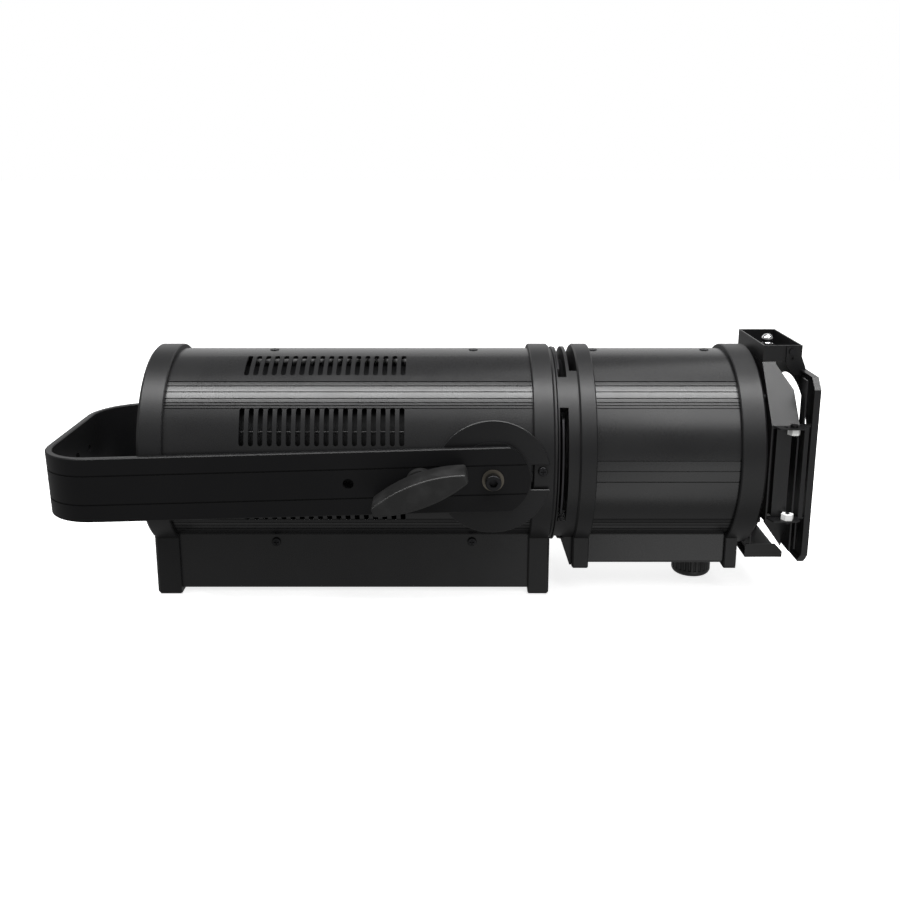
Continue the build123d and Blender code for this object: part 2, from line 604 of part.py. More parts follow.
for label, middle, order in SHUTTER_SIDES:
    x_blade = FIRST_BLADE + order * BLADE_PITCH
    turn = radians(middle)
    out = (0, sin(turn), cos(turn))
    blade_plane = Plane(origin=(x_blade, 0, AXIS_Z), x_dir=(0, cos(turn), -sin(turn)), z_dir=(1, 0, 0))
    rim = sqrt(GATE_R ** 2 - (BLADE_W / 2) ** 2) - 0.5
    with BuildPart() as blade:
        with BuildSketch(blade_plane):
            with Locations((0, (BLADE_IN_R + rim) / 2)):
                Rectangle(BLADE_W, rim - BLADE_IN_R)
            with Locations((0, rim)):
                Rectangle(BLADE_W, 60)
            Circle(GATE_R - 0.5, mode=Mode.INTERSECT)
        extrude(amount=BLADE_T / 2, both=True)
        with BuildSketch(blade_plane):
            Circle(GATE_R - 0.5)
            Circle(GATE_R - 0.5 - BLADE_EDGE_W, mode=Mode.SUBTRACT)
            with Locations((0, GATE_R)):
                Rectangle(BLADE_W, GATE_R, mode=Mode.INTERSECT)
        extrude(amount=BLADE_EDGE_T / 2, both=True)
    save(blade.part, label)

with BuildPart() as slot_ring:
    with BuildSketch(across(X6)):
        Circle(GATE_R)
        Circle(GATE_IN_R, mode=Mode.SUBTRACT)
    extrude(amount=SLOT_LEN)
    with BuildSketch(across(X6 + 1.2)):
        add(sector(GATE_R + 5, 0, SLOT_WINDOW))
    extrude(amount=SLOT_LEN, mode=Mode.SUBTRACT)
    web_half = BODY_HALF - 2
    foot_low = AXIS_Z - TUBE_FOOT_DROP + 2.5
    with BuildSketch(Plane.XZ.offset(-web_half)):
        with BuildLine():
            Polyline((X5 + 8.6, AXIS_Z - 80), (X5 + 8.6, AXIS_Z - 89), (X7 - 2.4, foot_low),
                     (X7, foot_low), (X7, AXIS_Z - 80), close=True)
        make_face()
    extrude(amount=2 * web_half)
    with BuildSketch(across(X5)):
        Circle(GATE_IN_R)
    extrude(amount=GATE_LEN + SLOT_LEN, mode=Mode.SUBTRACT)
    with BuildSketch(across(X5)):
        Circle(GATE_R + 0.6)
    extrude(amount=GATE_LEN, mode=Mode.SUBTRACT)
save(slot_ring.part, "slot_ring")

# ---------------------------------------------------------------- lens tube
ROD_SEAT = 6.0
ROD_FIT = 0.06
ROD_SPOTS = [(side * ROD_R * sin(radians(ROD_ANGLE)), ROD_R * cos(radians(ROD_ANGLE))) for side in SIDES]
with BuildPart() as tube_rear_frame:
    with BuildSketch(across(X7)):
        add(TUBE_FRAME_OUT)
    extrude(amount=TUBE_REAR_LEN)
    chamfer(tube_rear_frame.faces().sort_by(Axis.X)[0].outer_wire().edges(), 1.6)
    chamfer(tube_rear_frame.faces().sort_by(Axis.X)[-1].outer_wire().edges(), 1.0)
    with BuildSketch(across(X7)):
        Circle(LENS_BORE_R)
    extrude(amount=TUBE_REAR_LEN, mode=Mode.SUBTRACT)
    with BuildSketch(across(X8)):
        add(TUBE_SEAT)
    extrude(amount=-SEAT, mode=Mode.SUBTRACT)
    with BuildSketch(across(X8 - SEAT)):
        with Locations(*ROD_SPOTS):
            Circle(ROD_D / 2)
    extrude(amount=-ROD_SEAT, mode=Mode.SUBTRACT)
save(tube_rear_frame.part, "tube_rear_frame")

with BuildPart() as tube_front_frame:
    with BuildSketch(across(X9)):
        add(TUBE_FRAME_OUT)
    extrude(amount=TUBE_FOOT_LEN)
    chamfer(tube_front_frame.faces().sort_by(Axis.X)[0].outer_wire().edges(), 1.0)
    with BuildSketch(across(X9 + TUBE_FOOT_LEN)):
        Circle(FRAME_R)
    extrude(amount=TUBE_FRONT_LEN - TUBE_FOOT_LEN)
    chamfer(tube_front_frame.faces().sort_by(Axis.X)[-1].outer_wire().edges(), 2.0)
    with BuildSketch(across(X9)):
        Circle(LENS_BORE_R)
    extrude(amount=TUBE_FRONT_LEN, mode=Mode.SUBTRACT)
    with BuildSketch(across(X9)):
        add(TUBE_SEAT)
    extrude(amount=SEAT, mode=Mode.SUBTRACT)
    with BuildSketch(across(X9 + SEAT)):
        with Locations(*ROD_SPOTS):
            Circle(ROD_D / 2)
    extrude(amount=ROD_SEAT, mode=Mode.SUBTRACT)
    with BuildSketch(across(X10)):
        with PolarLocations(SPACER_R, 4, start_angle=45):
            Circle(SCREW_HOLE_D / 2)
    extrude(amount=-HOLDER_SCREW_IN - 1, mode=Mode.SUBTRACT)
save(tube_front_frame.part, "tube_front_frame")

FOCUS_X = X9 - FOCUS_FROM_FRONT
SLOT_W = 9.0
with BuildPart() as lens_shell:
    with BuildSketch(across(X8 - SEAT)):
        add(TUBE_OUT)
        add(TUBE_IN, mode=Mode.SUBTRACT)
        add(RIBS, mode=Mode.SUBTRACT)
        with Locations((0, -TUBE_JOINT_DROP - TUBE_DROP / 2)):
            Rectangle(4 * BODY_R, TUBE_DROP, mode=Mode.SUBTRACT)
    extrude(amount=TUBE_LEN + 2 * SEAT)
    with BuildSketch(Plane.XY.offset(AXIS_Z)):
        with Locations(*[(x, 0) for x in TUBE_TOP_SCREWS]):
            Circle(SCREW_HOLE_D / 2)
    extrude(amount=2 * BODY_R, mode=Mode.SUBTRACT)
save(lens_shell.part, "lens_shell")

with BuildPart() as lens_shell_cover:
    with BuildSketch(across(X8 - SEAT)):
        add(TUBE_OUT)
        add(TUBE_IN, mode=Mode.SUBTRACT)
        with Locations((0, -TUBE_JOINT_DROP + 2 * BODY_R)):
            Rectangle(4 * BODY_R, 4 * BODY_R, mode=Mode.SUBTRACT)
    extrude(amount=TUBE_LEN + 2 * SEAT)
    with BuildSketch(Plane.XY.offset(AXIS_Z - TUBE_DROP - 1)):
        with Locations((FOCUS_X + (FOCUS_AHEAD - FOCUS_BACK) / 2, 0)):
            SlotOverall(FOCUS_BACK + FOCUS_AHEAD + SLOT_W + 1, SLOT_W)
    extrude(amount=WALL + 2, mode=Mode.SUBTRACT)
save(lens_shell_cover.part, "lens_shell_cover")

with BuildPart() as guide_rods:
    with BuildSketch(across(X8 - SEAT - ROD_SEAT)):
        with Locations(*ROD_SPOTS):
            Circle(ROD_D / 2)
    extrude(amount=TUBE_LEN + 2 * (SEAT + ROD_SEAT))
save(guide_rods.part, "guide_rods")


def lens(x, radius, rim, crown):
    """Outline of a plano-convex lens in the XZ plane, flat face at x, crown towards +X."""
    with BuildSketch(Plane.XZ) as outline:
        with BuildLine():
            Polyline((x, AXIS_Z), (x, AXIS_Z + radius), (x + rim, AXIS_Z + radius))
            sag = crown - rim
            big = (radius ** 2 + sag ** 2) / (2 * sag)
            half_turn = 0.5 * radius / big
            middle = (x + rim + sag - big * (1 - cos(half_turn)), AXIS_Z + big * sin(half_turn))
            ThreePointArc((x + rim, AXIS_Z + radius), middle, (x + crown, AXIS_Z))
            Line((x + crown, AXIS_Z), (x, AXIS_Z))
        make_face()
    return outline.sketch


OPTICAL_AXIS = Axis((0, 0, AXIS_Z), (1, 0, 0))
REAR_RING_LEN = 16.0
with BuildPart() as rear_lens_ring:
    with BuildSketch(across(X8 - SEAT)):
        Circle(LENS_BORE_R + 2.4)
        Circle(LENS_R, mode=Mode.SUBTRACT)
    extrude(amount=REAR_RING_LEN)
save(rear_lens_ring.part, "rear_lens_ring")

with BuildPart() as rear_lens:
    add(lens(X8 - SEAT + 3, LENS_R, 4.0, 26.0))
    revolve(axis=OPTICAL_AXIS)
save(rear_lens.part, "rear_lens")

CARRIAGE_X = FOCUS_X - CARRIAGE_LEN / 2
with BuildPart() as lens_carriage:
    with BuildSketch(across(CARRIAGE_X)):
        Circle(CARRIAGE_R)
        Circle(LENS_R, mode=Mode.SUBTRACT)
        with Locations(*ROD_SPOTS):
            Circle(ROD_D / 2 + ROD_FIT, mode=Mode.SUBTRACT)
    extrude(amount=CARRIAGE_LEN)
    with BuildSketch(Plane.XY.offset(AXIS_Z - TUBE_DROP + WALL + 1.0)):
        with Locations((FOCUS_X, 0)):
            Rectangle(14, 22)
    extrude(amount=TUBE_DROP - WALL - 1.0 - CARRIAGE_R + 4)
    with BuildSketch(Plane.XY.offset(AXIS_Z - CARRIAGE_R + 2)):
        with Locations((FOCUS_X, 0)):
            Circle(FOCUS_STEM_D / 2)
    extrude(amount=-(TUBE_DROP - CARRIAGE_R + 26))
save(lens_carriage.part, "lens_carriage")

with BuildPart() as front_lens:
    add(lens(CARRIAGE_X + 2, LENS_R, 4.0, 28.0))
    revolve(axis=OPTICAL_AXIS)
save(front_lens.part, "front_lens")

KNOB_COLLAR_D = 18.0
KNOB_TOP = TUBE_FOOT_DROP + 0.6
KNOB_FLUTES = 24
with BuildPart() as focus_knob:
    knob_top_z = AXIS_Z - KNOB_TOP
    with BuildSketch(Plane.XY.offset(knob_top_z)):
        with Locations((FOCUS_X, 0)):
            Circle(FOCUS_KNOB_D / 2)
            with PolarLocations(FOCUS_KNOB_D / 2 + 0.4, KNOB_FLUTES):
                Circle(1.5, mode=Mode.SUBTRACT)
    extrude(amount=-(FOCUS_KNOB_T - 7))
    with BuildSketch(Plane.XY.offset(knob_top_z - FOCUS_KNOB_T + 7)):
        with Locations((FOCUS_X, 0)):
            Circle(FOCUS_KNOB_D / 2)
    extrude(amount=-7)
    fillet(focus_knob.faces().sort_by(Axis.Z)[0].outer_wire().edges(), 6.0)
    with BuildSketch(Plane.XY.offset(AXIS_Z - TUBE_DROP - 0.3)):
        with Locations((FOCUS_X, 0)):
            Circle(KNOB_COLLAR_D / 2)
    extrude(amount=-(KNOB_TOP - TUBE_DROP + 1))
    with BuildSketch(Plane.XY.offset(AXIS_Z - TUBE_DROP)):
        with Locations((FOCUS_X, 0)):
            Circle(FOCUS_STEM_D / 2 + RUN_FIT)
    extrude(amount=-27, mode=Mode.SUBTRACT)
save(focus_knob.part, "focus_knob")

# ---------------------------------------------------------------- colour frame holder
def side_points(side, inset):
    """Corner points of one side of the holder's folded sheet, moved inwards by inset."""
    return [(side * (HOLDER_TOP_HALF - 0.4 * inset), HOLDER_TOP),
            (side * (HOLDER_SIDE_HALF - inset), HOLDER_KNEE - 0.45 * inset),
            (side * (HOLDER_SIDE_HALF - inset), HOLDER_LOW_KNEE + 0.45 * inset),
            (side * (HOLDER_TOP_HALF - 0.4 * inset), HOLDER_BOTTOM)]


def folded_wall(side):
    """Folded sheet of one side, seen along the axis."""
    with BuildSketch() as wall:
        with BuildLine():
            Polyline(*side_points(side, 0), *reversed(side_points(side, SHEET)), close=True)
        make_face()
    return wall.sketch


RAIL_X = X12 - SLOT_GUIDE
TAB_BACK = 1.0
TAB_TIP = 33.0
TAB_OUT = 12.5
TAB_UP_Z = HOLDER_KNEE
TAB_LOW_Z = HOLDER_LOW_KNEE
HOLDER_BOX_BACK = 4.0
HOLDER_BOX_LEN = 40.0
HOLDER_BOX_H = 15.0
FAR_OUT = 60.0
LOW_WALL_START = 22.5
GUIDE_FOOT = -90.0
FLANGE_IN = 78.0          # inner edge of the two flanges that the colour frame slides between
RAIL_END = 90.0
RAIL_END_W = 14.0
# Cuts through both side walls, as corner points (ahead of X11, above the axis)
WALL_CUTS = (
    [(UPPER_WALL_END, HOLDER_TOP + 9), (UPPER_WALL_END, HOLDER_TOP - 2),
     (WALL_FRONT, HOLDER_TOP - 25), (WALL_FRONT, HOLDER_KNEE),
     (FAR_OUT, HOLDER_KNEE), (FAR_OUT, HOLDER_TOP + 9)],
    [(SIDE_WALL_END, HOLDER_KNEE + 0.5), (SIDE_WALL_END, HOLDER_LOW_KNEE),
     (WALL_FRONT, HOLDER_LOW_KNEE), (WALL_FRONT, HOLDER_BOTTOM - 1),
     (FAR_OUT, HOLDER_BOTTOM - 1), (FAR_OUT, HOLDER_KNEE + 0.5)],
    [(SHEET, HOLDER_KNEE - 3), (SHEET, HOLDER_LOW_KNEE + 3),
     (SIDE_WALL_START, HOLDER_LOW_KNEE + 3), (SIDE_WALL_START, HOLDER_KNEE - 3)],
    [(-1, HOLDER_LOW_KNEE - 4), (LOW_WALL_START, HOLDER_LOW_KNEE - 35),
     (WALL_FRONT + 1, GUIDE_FOOT - 8), (WALL_FRONT + 1, HOLDER_BOTTOM - 1), (-1, HOLDER_BOTTOM - 1)],
)
rail_mid = (HOLDER_KNEE + HOLDER_LOW_KNEE) / 2
rail_height = HOLDER_KNEE - HOLDER_LOW_KNEE - 2
box_half = HOLDER_TOP_HALF - 0.4 * SHEET
box_mid = HOLDER_BOTTOM + HOLDER_BOX_H / 2
with BuildPart() as colour_frame_holder:
    with BuildSketch(across(X11)):
        add(folded_wall(1))
        add(folded_wall(-1))
    extrude(amount=HOLDER_DEPTH)
    for corners in WALL_CUTS:
        with BuildSketch(Plane.XZ.offset(-2 * BODY_R)):
            with BuildLine():
                Polyline(*[(X11 + x, AXIS_Z + z) for x, z in corners], close=True)
            make_face()
        extrude(amount=4 * BODY_R, mode=Mode.SUBTRACT)
    with BuildSketch(across(X11)):
        with BuildLine():
            upper = side_points(1, 0)[:2] + [(HOLDER_SIDE_HALF, HOLDER_LOW_KNEE - 4)]
            Polyline(*upper, *[(-y, z) for y, z in reversed(upper)], close=True)
        make_face()
        Circle(HOLDER_SIDE_HALF)
        with Locations((0, (HOLDER_BOTTOM - LENS_BORE_R) / 2)):
            Rectangle(2 * box_half, -LENS_BORE_R - HOLDER_BOTTOM)
        Circle(LENS_BORE_R + 4, mode=Mode.SUBTRACT)
        with PolarLocations(SPACER_R, 4, start_angle=45):
            Circle(SCREW_HOLE_D / 2, mode=Mode.SUBTRACT)
    extrude(amount=SHEET)
    for side in SIDES:
        flange = HOLDER_SIDE_HALF - FLANGE_IN
        for x in (RAIL_X, X11 + WALL_FRONT - SHEET):
            with BuildSketch(across(x)):
                with Locations((side * (FLANGE_IN + flange / 2), rail_mid)):
                    Rectangle(flange, rail_height)
            extrude(amount=SHEET)
        with BuildSketch(across(RAIL_X)):
            with Locations((side * (FLANGE_IN + RAIL_END_W / 2), 0)):
                Rectangle(RAIL_END_W, 2 * RAIL_END)
        extrude(amount=SHEET)
        with BuildSketch(across(RAIL_X)):
            with Locations((side * (HOLDER_SIDE_HALF - SHEET / 2), rail_mid)):
                Rectangle(SHEET, rail_height)
        extrude(amount=SLOT_GUIDE_LEN)
        with BuildSketch(across(X11)):
            with Locations((side * (HOLDER_SIDE_HALF - JOGGLE), rail_mid)):
                Rectangle(SHEET, rail_height - 4)
        extrude(amount=SIDE_WALL_START + SHEET)
        with BuildSketch(across(X11 + SIDE_WALL_START)):
            with Locations((side * (HOLDER_SIDE_HALF - JOGGLE / 2), rail_mid)):
                Rectangle(JOGGLE, rail_height - 4)
        extrude(amount=SHEET)
        with BuildSketch(across(X11 + WALL_FRONT - SHEET)):
            with BuildLine():
                knee = side_points(side, 0)[2]
                foot = side_points(side, 0)[3]
                share = (HOLDER_LOW_KNEE - GUIDE_FOOT) / (HOLDER_LOW_KNEE - HOLDER_BOTTOM)
                wall_y = knee[0] + share * (foot[0] - knee[0])
                Polyline(knee, (knee[0], GUIDE_FOOT), (wall_y - 2 * side, GUIDE_FOOT),
                         (knee[0] - 2 * side, HOLDER_LOW_KNEE), close=True)
            make_face()
        extrude(amount=SHEET)
        for z in (HOLDER_KNEE - SHEET / 2, HOLDER_LOW_KNEE + SHEET / 2):
            with BuildSketch(Plane.XY.offset(AXIS_Z + z - SHEET / 2)):
                with BuildLine():
                    inner = side * (HOLDER_SIDE_HALF - 8)
                    outer = side * (HOLDER_SIDE_HALF + TAB_OUT)
                    wall = side * HOLDER_SIDE_HALF
                    back = X11 + TAB_BACK
                    tip = X11 + TAB_TIP
                    Polyline((back, inner), (back, wall), (back + 4, outer), (tip - 4, outer),
                             (tip, outer - 4 * side), (tip, wall), (X12, wall), (X12, inner), close=True)
                make_face()
                with Locations((X11 + 12, side * NUT_Y), (NUT_X, side * NUT_Y)):
                    Circle(SCREW_HOLE_D / 2, mode=Mode.SUBTRACT)
            extrude(amount=SHEET)
    with BuildSketch(across(X11 - HOLDER_BOX_BACK)):
        with Locations((0, box_mid)):
            Rectangle(2 * box_half, HOLDER_BOX_H)
        with Locations((0, box_mid + SHEET)):
            Rectangle(2 * box_half - 2 * SHEET, HOLDER_BOX_H, mode=Mode.SUBTRACT)
    extrude(amount=HOLDER_BOX_LEN)
    with BuildSketch(Plane.XZ.offset(-2 * BODY_R)):
        with BuildLine():
            box_end = X11 + HOLDER_BOX_LEN + 1
            box_top = AXIS_Z + HOLDER_BOTTOM + HOLDER_BOX_H + 1
            Polyline((box_end - 10 - HOLDER_BOX_BACK, box_top), (box_end, box_top - HOLDER_BOX_H),
                     (box_end, box_top), close=True)
        make_face()
    extrude(amount=4 * BODY_R, mode=Mode.SUBTRACT)
save(colour_frame_holder.part, "colour_frame_holder")


def octagon(half, top, bottom, corner):
    """Octagon seen along the axis."""
    with BuildSketch() as outline:
        with Locations((0, (top + bottom) / 2)):
            Rectangle(2 * half, top - bottom)
        chamfer(outline.vertices(), corner)
    return outline.sketch


HINGE_X = X12 - RETAINER_FRONT_GAP - HINGE_BACK
HINGE_Z = AXIS_Z + RETAINER_TOP - HINGE_BELOW_RIM
EAR_GAP = 0.4
EAR_IN = HOLDER_TOP_HALF + EAR_GAP
HINGE_D = 4.0
with BuildPart() as holder_front_plate:
    with BuildSketch(across(X12 - PLATE_LIP)):
        add(octagon(PLATE_HALF, PLATE_TOP, PLATE_BOTTOM, PLATE_CORNER))
        add(octagon(PLATE_HALF - SHEET, PLATE_TOP - SHEET, PLATE_BOTTOM + SHEET,
                    PLATE_CORNER - 0.6 * SHEET), mode=Mode.SUBTRACT)
    extrude(amount=PLATE_LIP)
    with BuildSketch(across(X12)):
        add(octagon(PLATE_HALF, PLATE_TOP, PLATE_BOTTOM, PLATE_CORNER))
        Circle(PLATE_BORE_R, mode=Mode.SUBTRACT)
    extrude(amount=SHEET)
    with BuildSketch(across(X12 - PLATE_LIP)):
        with Locations((0, PLATE_TOP)):
            Rectangle(2 * EAR_IN, 4 * SHEET)
    extrude(amount=PLATE_LIP, mode=Mode.SUBTRACT)
    for side in SIDES:
        with BuildSketch(Plane.XZ.offset(-side * EAR_IN)):
            with BuildLine():
                ear_top = HINGE_Z + 5
                ear_low = AXIS_Z + PLATE_TOP - 6
                Polyline((X12, ear_low), (X12, ear_low + 8), (HINGE_X + 6, ear_top), (HINGE_X - 6, ear_top),
                         (HINGE_X - 6, HINGE_Z - 12), (HINGE_X + 2, ear_low), close=True)
            make_face()
            with Locations((HINGE_X, HINGE_Z)):
                Circle(HINGE_D / 2 + RUN_FIT, mode=Mode.SUBTRACT)
            with Locations((HINGE_X, HINGE_Z - 7)):
                Circle(1.6, mode=Mode.SUBTRACT)
        extrude(amount=-side * SHEET)
save(holder_front_plate.part, "holder_front_plate")

DOME_X = X12 - RETAINER_FRONT_GAP - RETAINER_LEN + 17.7
DOME_STUD_D = 6.0
with BuildPart() as frame_retainer:
    retainer_x = X12 - RETAINER_FRONT_GAP - RETAINER_LEN
    half = HOLDER_TOP_HALF
    depth = RETAINER_TOP - RETAINER_FLOOR
    with BuildSketch(Plane.XY.offset(AXIS_Z + RETAINER_FLOOR)):
        with Locations((retainer_x + RETAINER_LEN / 2, 0)):
            Rectangle(RETAINER_LEN, 2 * half)
    extrude(amount=depth)
    with BuildSketch(Plane.XY.offset(AXIS_Z + RETAINER_FLOOR + SHEET)):
        with Locations((retainer_x + RETAINER_LEN / 2, 0)):
            Rectangle(RETAINER_LEN - 2 * SHEET, 2 * half - 2 * SHEET)
    extrude(amount=depth, mode=Mode.SUBTRACT)
    with BuildSketch(across(retainer_x + RETAINER_LEN - SHEET)):
        with Locations((0, RETAINER_TOP - RETAINER_FRONT_DROP / 2)):
            Rectangle(2 * half, RETAINER_FRONT_DROP)
    extrude(amount=SHEET)
    with BuildSketch(Plane.XZ.offset(-2 * BODY_R)):
        with Locations((HINGE_X, HINGE_Z)):
            Circle(HINGE_D / 2 + RUN_FIT)
    extrude(amount=4 * BODY_R, mode=Mode.SUBTRACT)
    with BuildSketch(Plane.XY.offset(AXIS_Z + RETAINER_FLOOR - 1)):
        with Locations((DOME_X, 0)):
            Circle(DOME_STUD_D / 2 + 0.1)
    extrude(amount=SHEET + 2, mode=Mode.SUBTRACT)
save(frame_retainer.part, "frame_retainer")

DOME_R = 6.2
DOME_MID = 115.5           # middle of the dome, above the optical axis
with BuildPart() as retainer_nut:
    floor_z = AXIS_Z + RETAINER_FLOOR + SHEET
    with BuildSketch(Plane.XY.offset(floor_z)):
        with Locations((DOME_X, 0)):
            Circle(DOME_R + 1)
    extrude(amount=1.2)
    with BuildSketch(Plane.XY.offset(floor_z)):
        with Locations((DOME_X, 0)):
            RegularPolygon(DOME_R + 0.6, 6)
    extrude(amount=8.0)
    with BuildSketch(Plane.XY.offset(floor_z)):
        with Locations((DOME_X, 0)):
            Circle(DOME_R - 1)
    extrude(amount=DOME_MID - RETAINER_FLOOR - SHEET)
    with Locations((DOME_X, 0, AXIS_Z + DOME_MID)):
        Sphere(DOME_R)
    with BuildSketch(Plane.XY.offset(floor_z)):
        with Locations((DOME_X, 0)):
            Circle(DOME_STUD_D / 2)
    extrude(amount=-SHEET)
    with BuildSketch(Plane.XY.offset(floor_z - SHEET)):
        with Locations((DOME_X, 0)):
            Circle(4.6)
    extrude(amount=-0.6)
save(retainer_nut.part, "retainer_nut")

with BuildPart() as holder_spacers:
    with BuildSketch(across(X10)):
        with PolarLocations(SPACER_R, 4, start_angle=45):
            Circle(SPACER_D / 2)
        with PolarLocations(SPACER_R, 4, start_angle=45):
            Circle(SCREW_HOLE_D / 2, mode=Mode.SUBTRACT)
    extrude(amount=HOLDER_GAP)
save(holder_spacers.part, "holder_spacers")

with BuildPart() as holder_nuts:
    for side in SIDES:
        for z, turn in ((TAB_UP_Z - SHEET, -1), (TAB_LOW_Z + SHEET, 1)):
            base = Plane(origin=(NUT_X, side * NUT_Y, AXIS_Z + z), x_dir=(1, 0, 0), z_dir=(0, 0, turn))
            with BuildSketch(base):
                RegularPolygon(NUT_AF / 2, 6, major_radius=False)
                Circle(SCREW_D / 2, mode=Mode.SUBTRACT)
            extrude(amount=NUT_T)
save(holder_nuts.part, "holder_nuts")

with BuildPart() as holder_screws:
    with BuildSketch(across(X11 + SHEET)):
        with PolarLocations(SPACER_R, 4, start_angle=45):
            Circle(SCREW_D)
    extrude(amount=SCREW_HEAD_T)
    with BuildSketch(across(X11 + SHEET)):
        with PolarLocations(SPACER_R, 4, start_angle=45):
            Circle(SCREW_D / 2)
    extrude(amount=-(SHEET + HOLDER_GAP + HOLDER_SCREW_IN))
    for side in SIDES:
        for z, turn in ((TAB_UP_Z, 1), (TAB_LOW_Z, -1)):
            base = Plane(origin=(NUT_X, side * NUT_Y, AXIS_Z + z), x_dir=(1, 0, 0), z_dir=(0, 0, turn))
            with BuildSketch(base):
                Circle(3.9)
            extrude(amount=2.6)
            with BuildSketch(base):
                Circle(SCREW_D / 2)
            extrude(amount=-(SHEET + NUT_T + 2))
        with BuildSketch(side_plane(HINGE_X, side * (EAR_IN + SHEET), HINGE_Z, side)):
            Circle(3.6)
        extrude(amount=2.0)
        with BuildSketch(side_plane(HINGE_X, side * (EAR_IN + SHEET), HINGE_Z, side)):
            Circle(HINGE_D / 2)
        extrude(amount=-(EAR_GAP + 2 * SHEET + 1.5))
save(holder_screws.part, "holder_screws")

# ---------------------------------------------------------------- rear panel and controls
PANEL_X = X0 + PANEL_RECESS
DISPLAY_Z = 50.0
DISPLAY_W = 58.0
DISPLAY_H = 30.0
DISPLAY_LAP = 3.0
BUTTON_Z = 18.0
BUTTON_D = 9.0
BUTTON_PITCH = 18.0
BUTTON_FIT = 0.08
BUTTON_TRAVEL = 1.5
BUTTON_PROUD = 2.2
SOCKET_D = 24.0
POWER_SOCKETS = [(-28, -34), (28, -34)]
DATA_SOCKETS = [(-28, -78), (28, -78)]
FUSE_SPOT = (0, -56)
FUSE_D = 12.0
EYE_SPOT = (0, -22)
EYE_D = 8.0
BOARD_GAP = 10.0
BOARD_W = 84.0
BOARD_H = 76.0
BOARD_MID = 38.0
BOARD_POSTS = [(side * 38.0, BOARD_MID + end * 34.0) for side in SIDES for end in SIDES]
PANEL_VENTS = (-112.0, -120.0, -128.0)
BUTTONS = ("menu_button", "up_button", "down_button", "enter_button")
BUTTON_Y = [BUTTON_PITCH * (1.5 - i) for i in range(len(BUTTONS))]

with BuildPart() as rear_panel:
    with BuildSketch(across(PANEL_X)):
        add(PANEL_FIT)
        with Locations((0, DISPLAY_Z)):
            Rectangle(DISPLAY_W, DISPLAY_H, mode=Mode.SUBTRACT)
        with Locations(*[(y, BUTTON_Z) for y in BUTTON_Y]):
            Circle(BUTTON_D / 2 + BUTTON_FIT, mode=Mode.SUBTRACT)
        with Locations(*POWER_SOCKETS, *DATA_SOCKETS):
            Circle(SOCKET_D / 2, mode=Mode.SUBTRACT)
        with Locations(FUSE_SPOT):
            Circle(FUSE_D / 2, mode=Mode.SUBTRACT)
        with Locations(EYE_SPOT):
            Circle(EYE_D / 2, mode=Mode.SUBTRACT)
        with Locations(*PANEL_SCREWS):
            Circle(SCREW_HOLE_D / 2, mode=Mode.SUBTRACT)
        with Locations(*[(0, z) for z in PANEL_VENTS]):
            SlotOverall(74, 4, mode=Mode.SUBTRACT)
    extrude(amount=PANEL_T)
    with BuildSketch(across(PANEL_X + PANEL_T)):
        with Locations(*BOARD_POSTS):
            Circle(3.0)
    extrude(amount=BOARD_GAP)
save(rear_panel.part, "rear_panel")

SOCKET_FLANGE = (27.0, 32.0)
SOCKET_FLANGE_T = 2.0
SOCKET_SCREWS = [(y + a * 10.2, z + a * 12.6) for y, z in POWER_SOCKETS + DATA_SOCKETS for a in SIDES]
with BuildPart() as panel_screws:
    with BuildSketch(across(PANEL_X)):
        with Locations(*PANEL_SCREWS):
            Circle(SCREW_D)
    extrude(amount=-2)
    with BuildSketch(across(PANEL_X)):
        with Locations(*PANEL_SCREWS):
            Circle(SCREW_D / 2)
    extrude(amount=PANEL_T + PANEL_SCREW_IN)
    with BuildSketch(across(PANEL_X - SOCKET_FLANGE_T)):
        with Locations(*SOCKET_SCREWS):
            Circle(2.4)
    extrude(amount=-1.4)
save(panel_screws.part, "panel_screws")

with BuildPart() as display_window:
    with BuildSketch(across(PANEL_X)):
        with Locations((0, DISPLAY_Z)):
            Rectangle(DISPLAY_W - 0.4, DISPLAY_H - 0.4)
    extrude(amount=PANEL_T)
    with BuildSketch(across(PANEL_X + PANEL_T)):
        with Locations((0, DISPLAY_Z)):
            Rectangle(DISPLAY_W + 2 * DISPLAY_LAP, DISPLAY_H + 2 * DISPLAY_LAP)
    extrude(amount=1.5)
save(display_window.part, "display_window")

board_x = PANEL_X + PANEL_T + BOARD_GAP
with BuildPart() as control_board:
    with BuildSketch(across(board_x)):
        with Locations((0, BOARD_MID)):
            Rectangle(BOARD_W, BOARD_H)
    extrude(amount=1.6)
    with BuildSketch(across(board_x)):
        with Locations((0, DISPLAY_Z)):
            Rectangle(DISPLAY_W - 4, DISPLAY_H - 2)
    extrude(amount=-6)
    with BuildSketch(across(board_x)):
        with Locations(*[(y, BUTTON_Z) for y in BUTTON_Y]):
            Rectangle(6, 6)
    extrude(amount=-4)
    with BuildSketch(across(board_x + 1.6)):
        with Locations((-20, 20), (18, 58)):
            Rectangle(16, 16)
        with Locations((20, 22), (-22, 56)):
            Rectangle(10, 22)
    extrude(amount=3)
save(control_board.part, "control_board")

for label, y in zip(BUTTONS, BUTTON_Y):
    with BuildPart() as button:
        with BuildSketch(across(PANEL_X - BUTTON_PROUD)):
            with Locations((y, BUTTON_Z)):
                Circle(BUTTON_D / 2)
        extrude(amount=BUTTON_PROUD + PANEL_T + 0.3)
        chamfer(button.faces().sort_by(Axis.X)[0].edges(), 0.5)
        with BuildSketch(across(PANEL_X + PANEL_T + 0.3)):
            with Locations((y, BUTTON_Z)):
                Circle(BUTTON_D / 2 + 1.2)
        extrude(amount=1.0)
        with BuildSketch(across(PANEL_X + PANEL_T + 1.0)):
            with Locations((y, BUTTON_Z)):
                Circle(2.0)
        extrude(amount=BOARD_GAP - 4 - BUTTON_TRAVEL - 1.5)
    save(button.part, label)

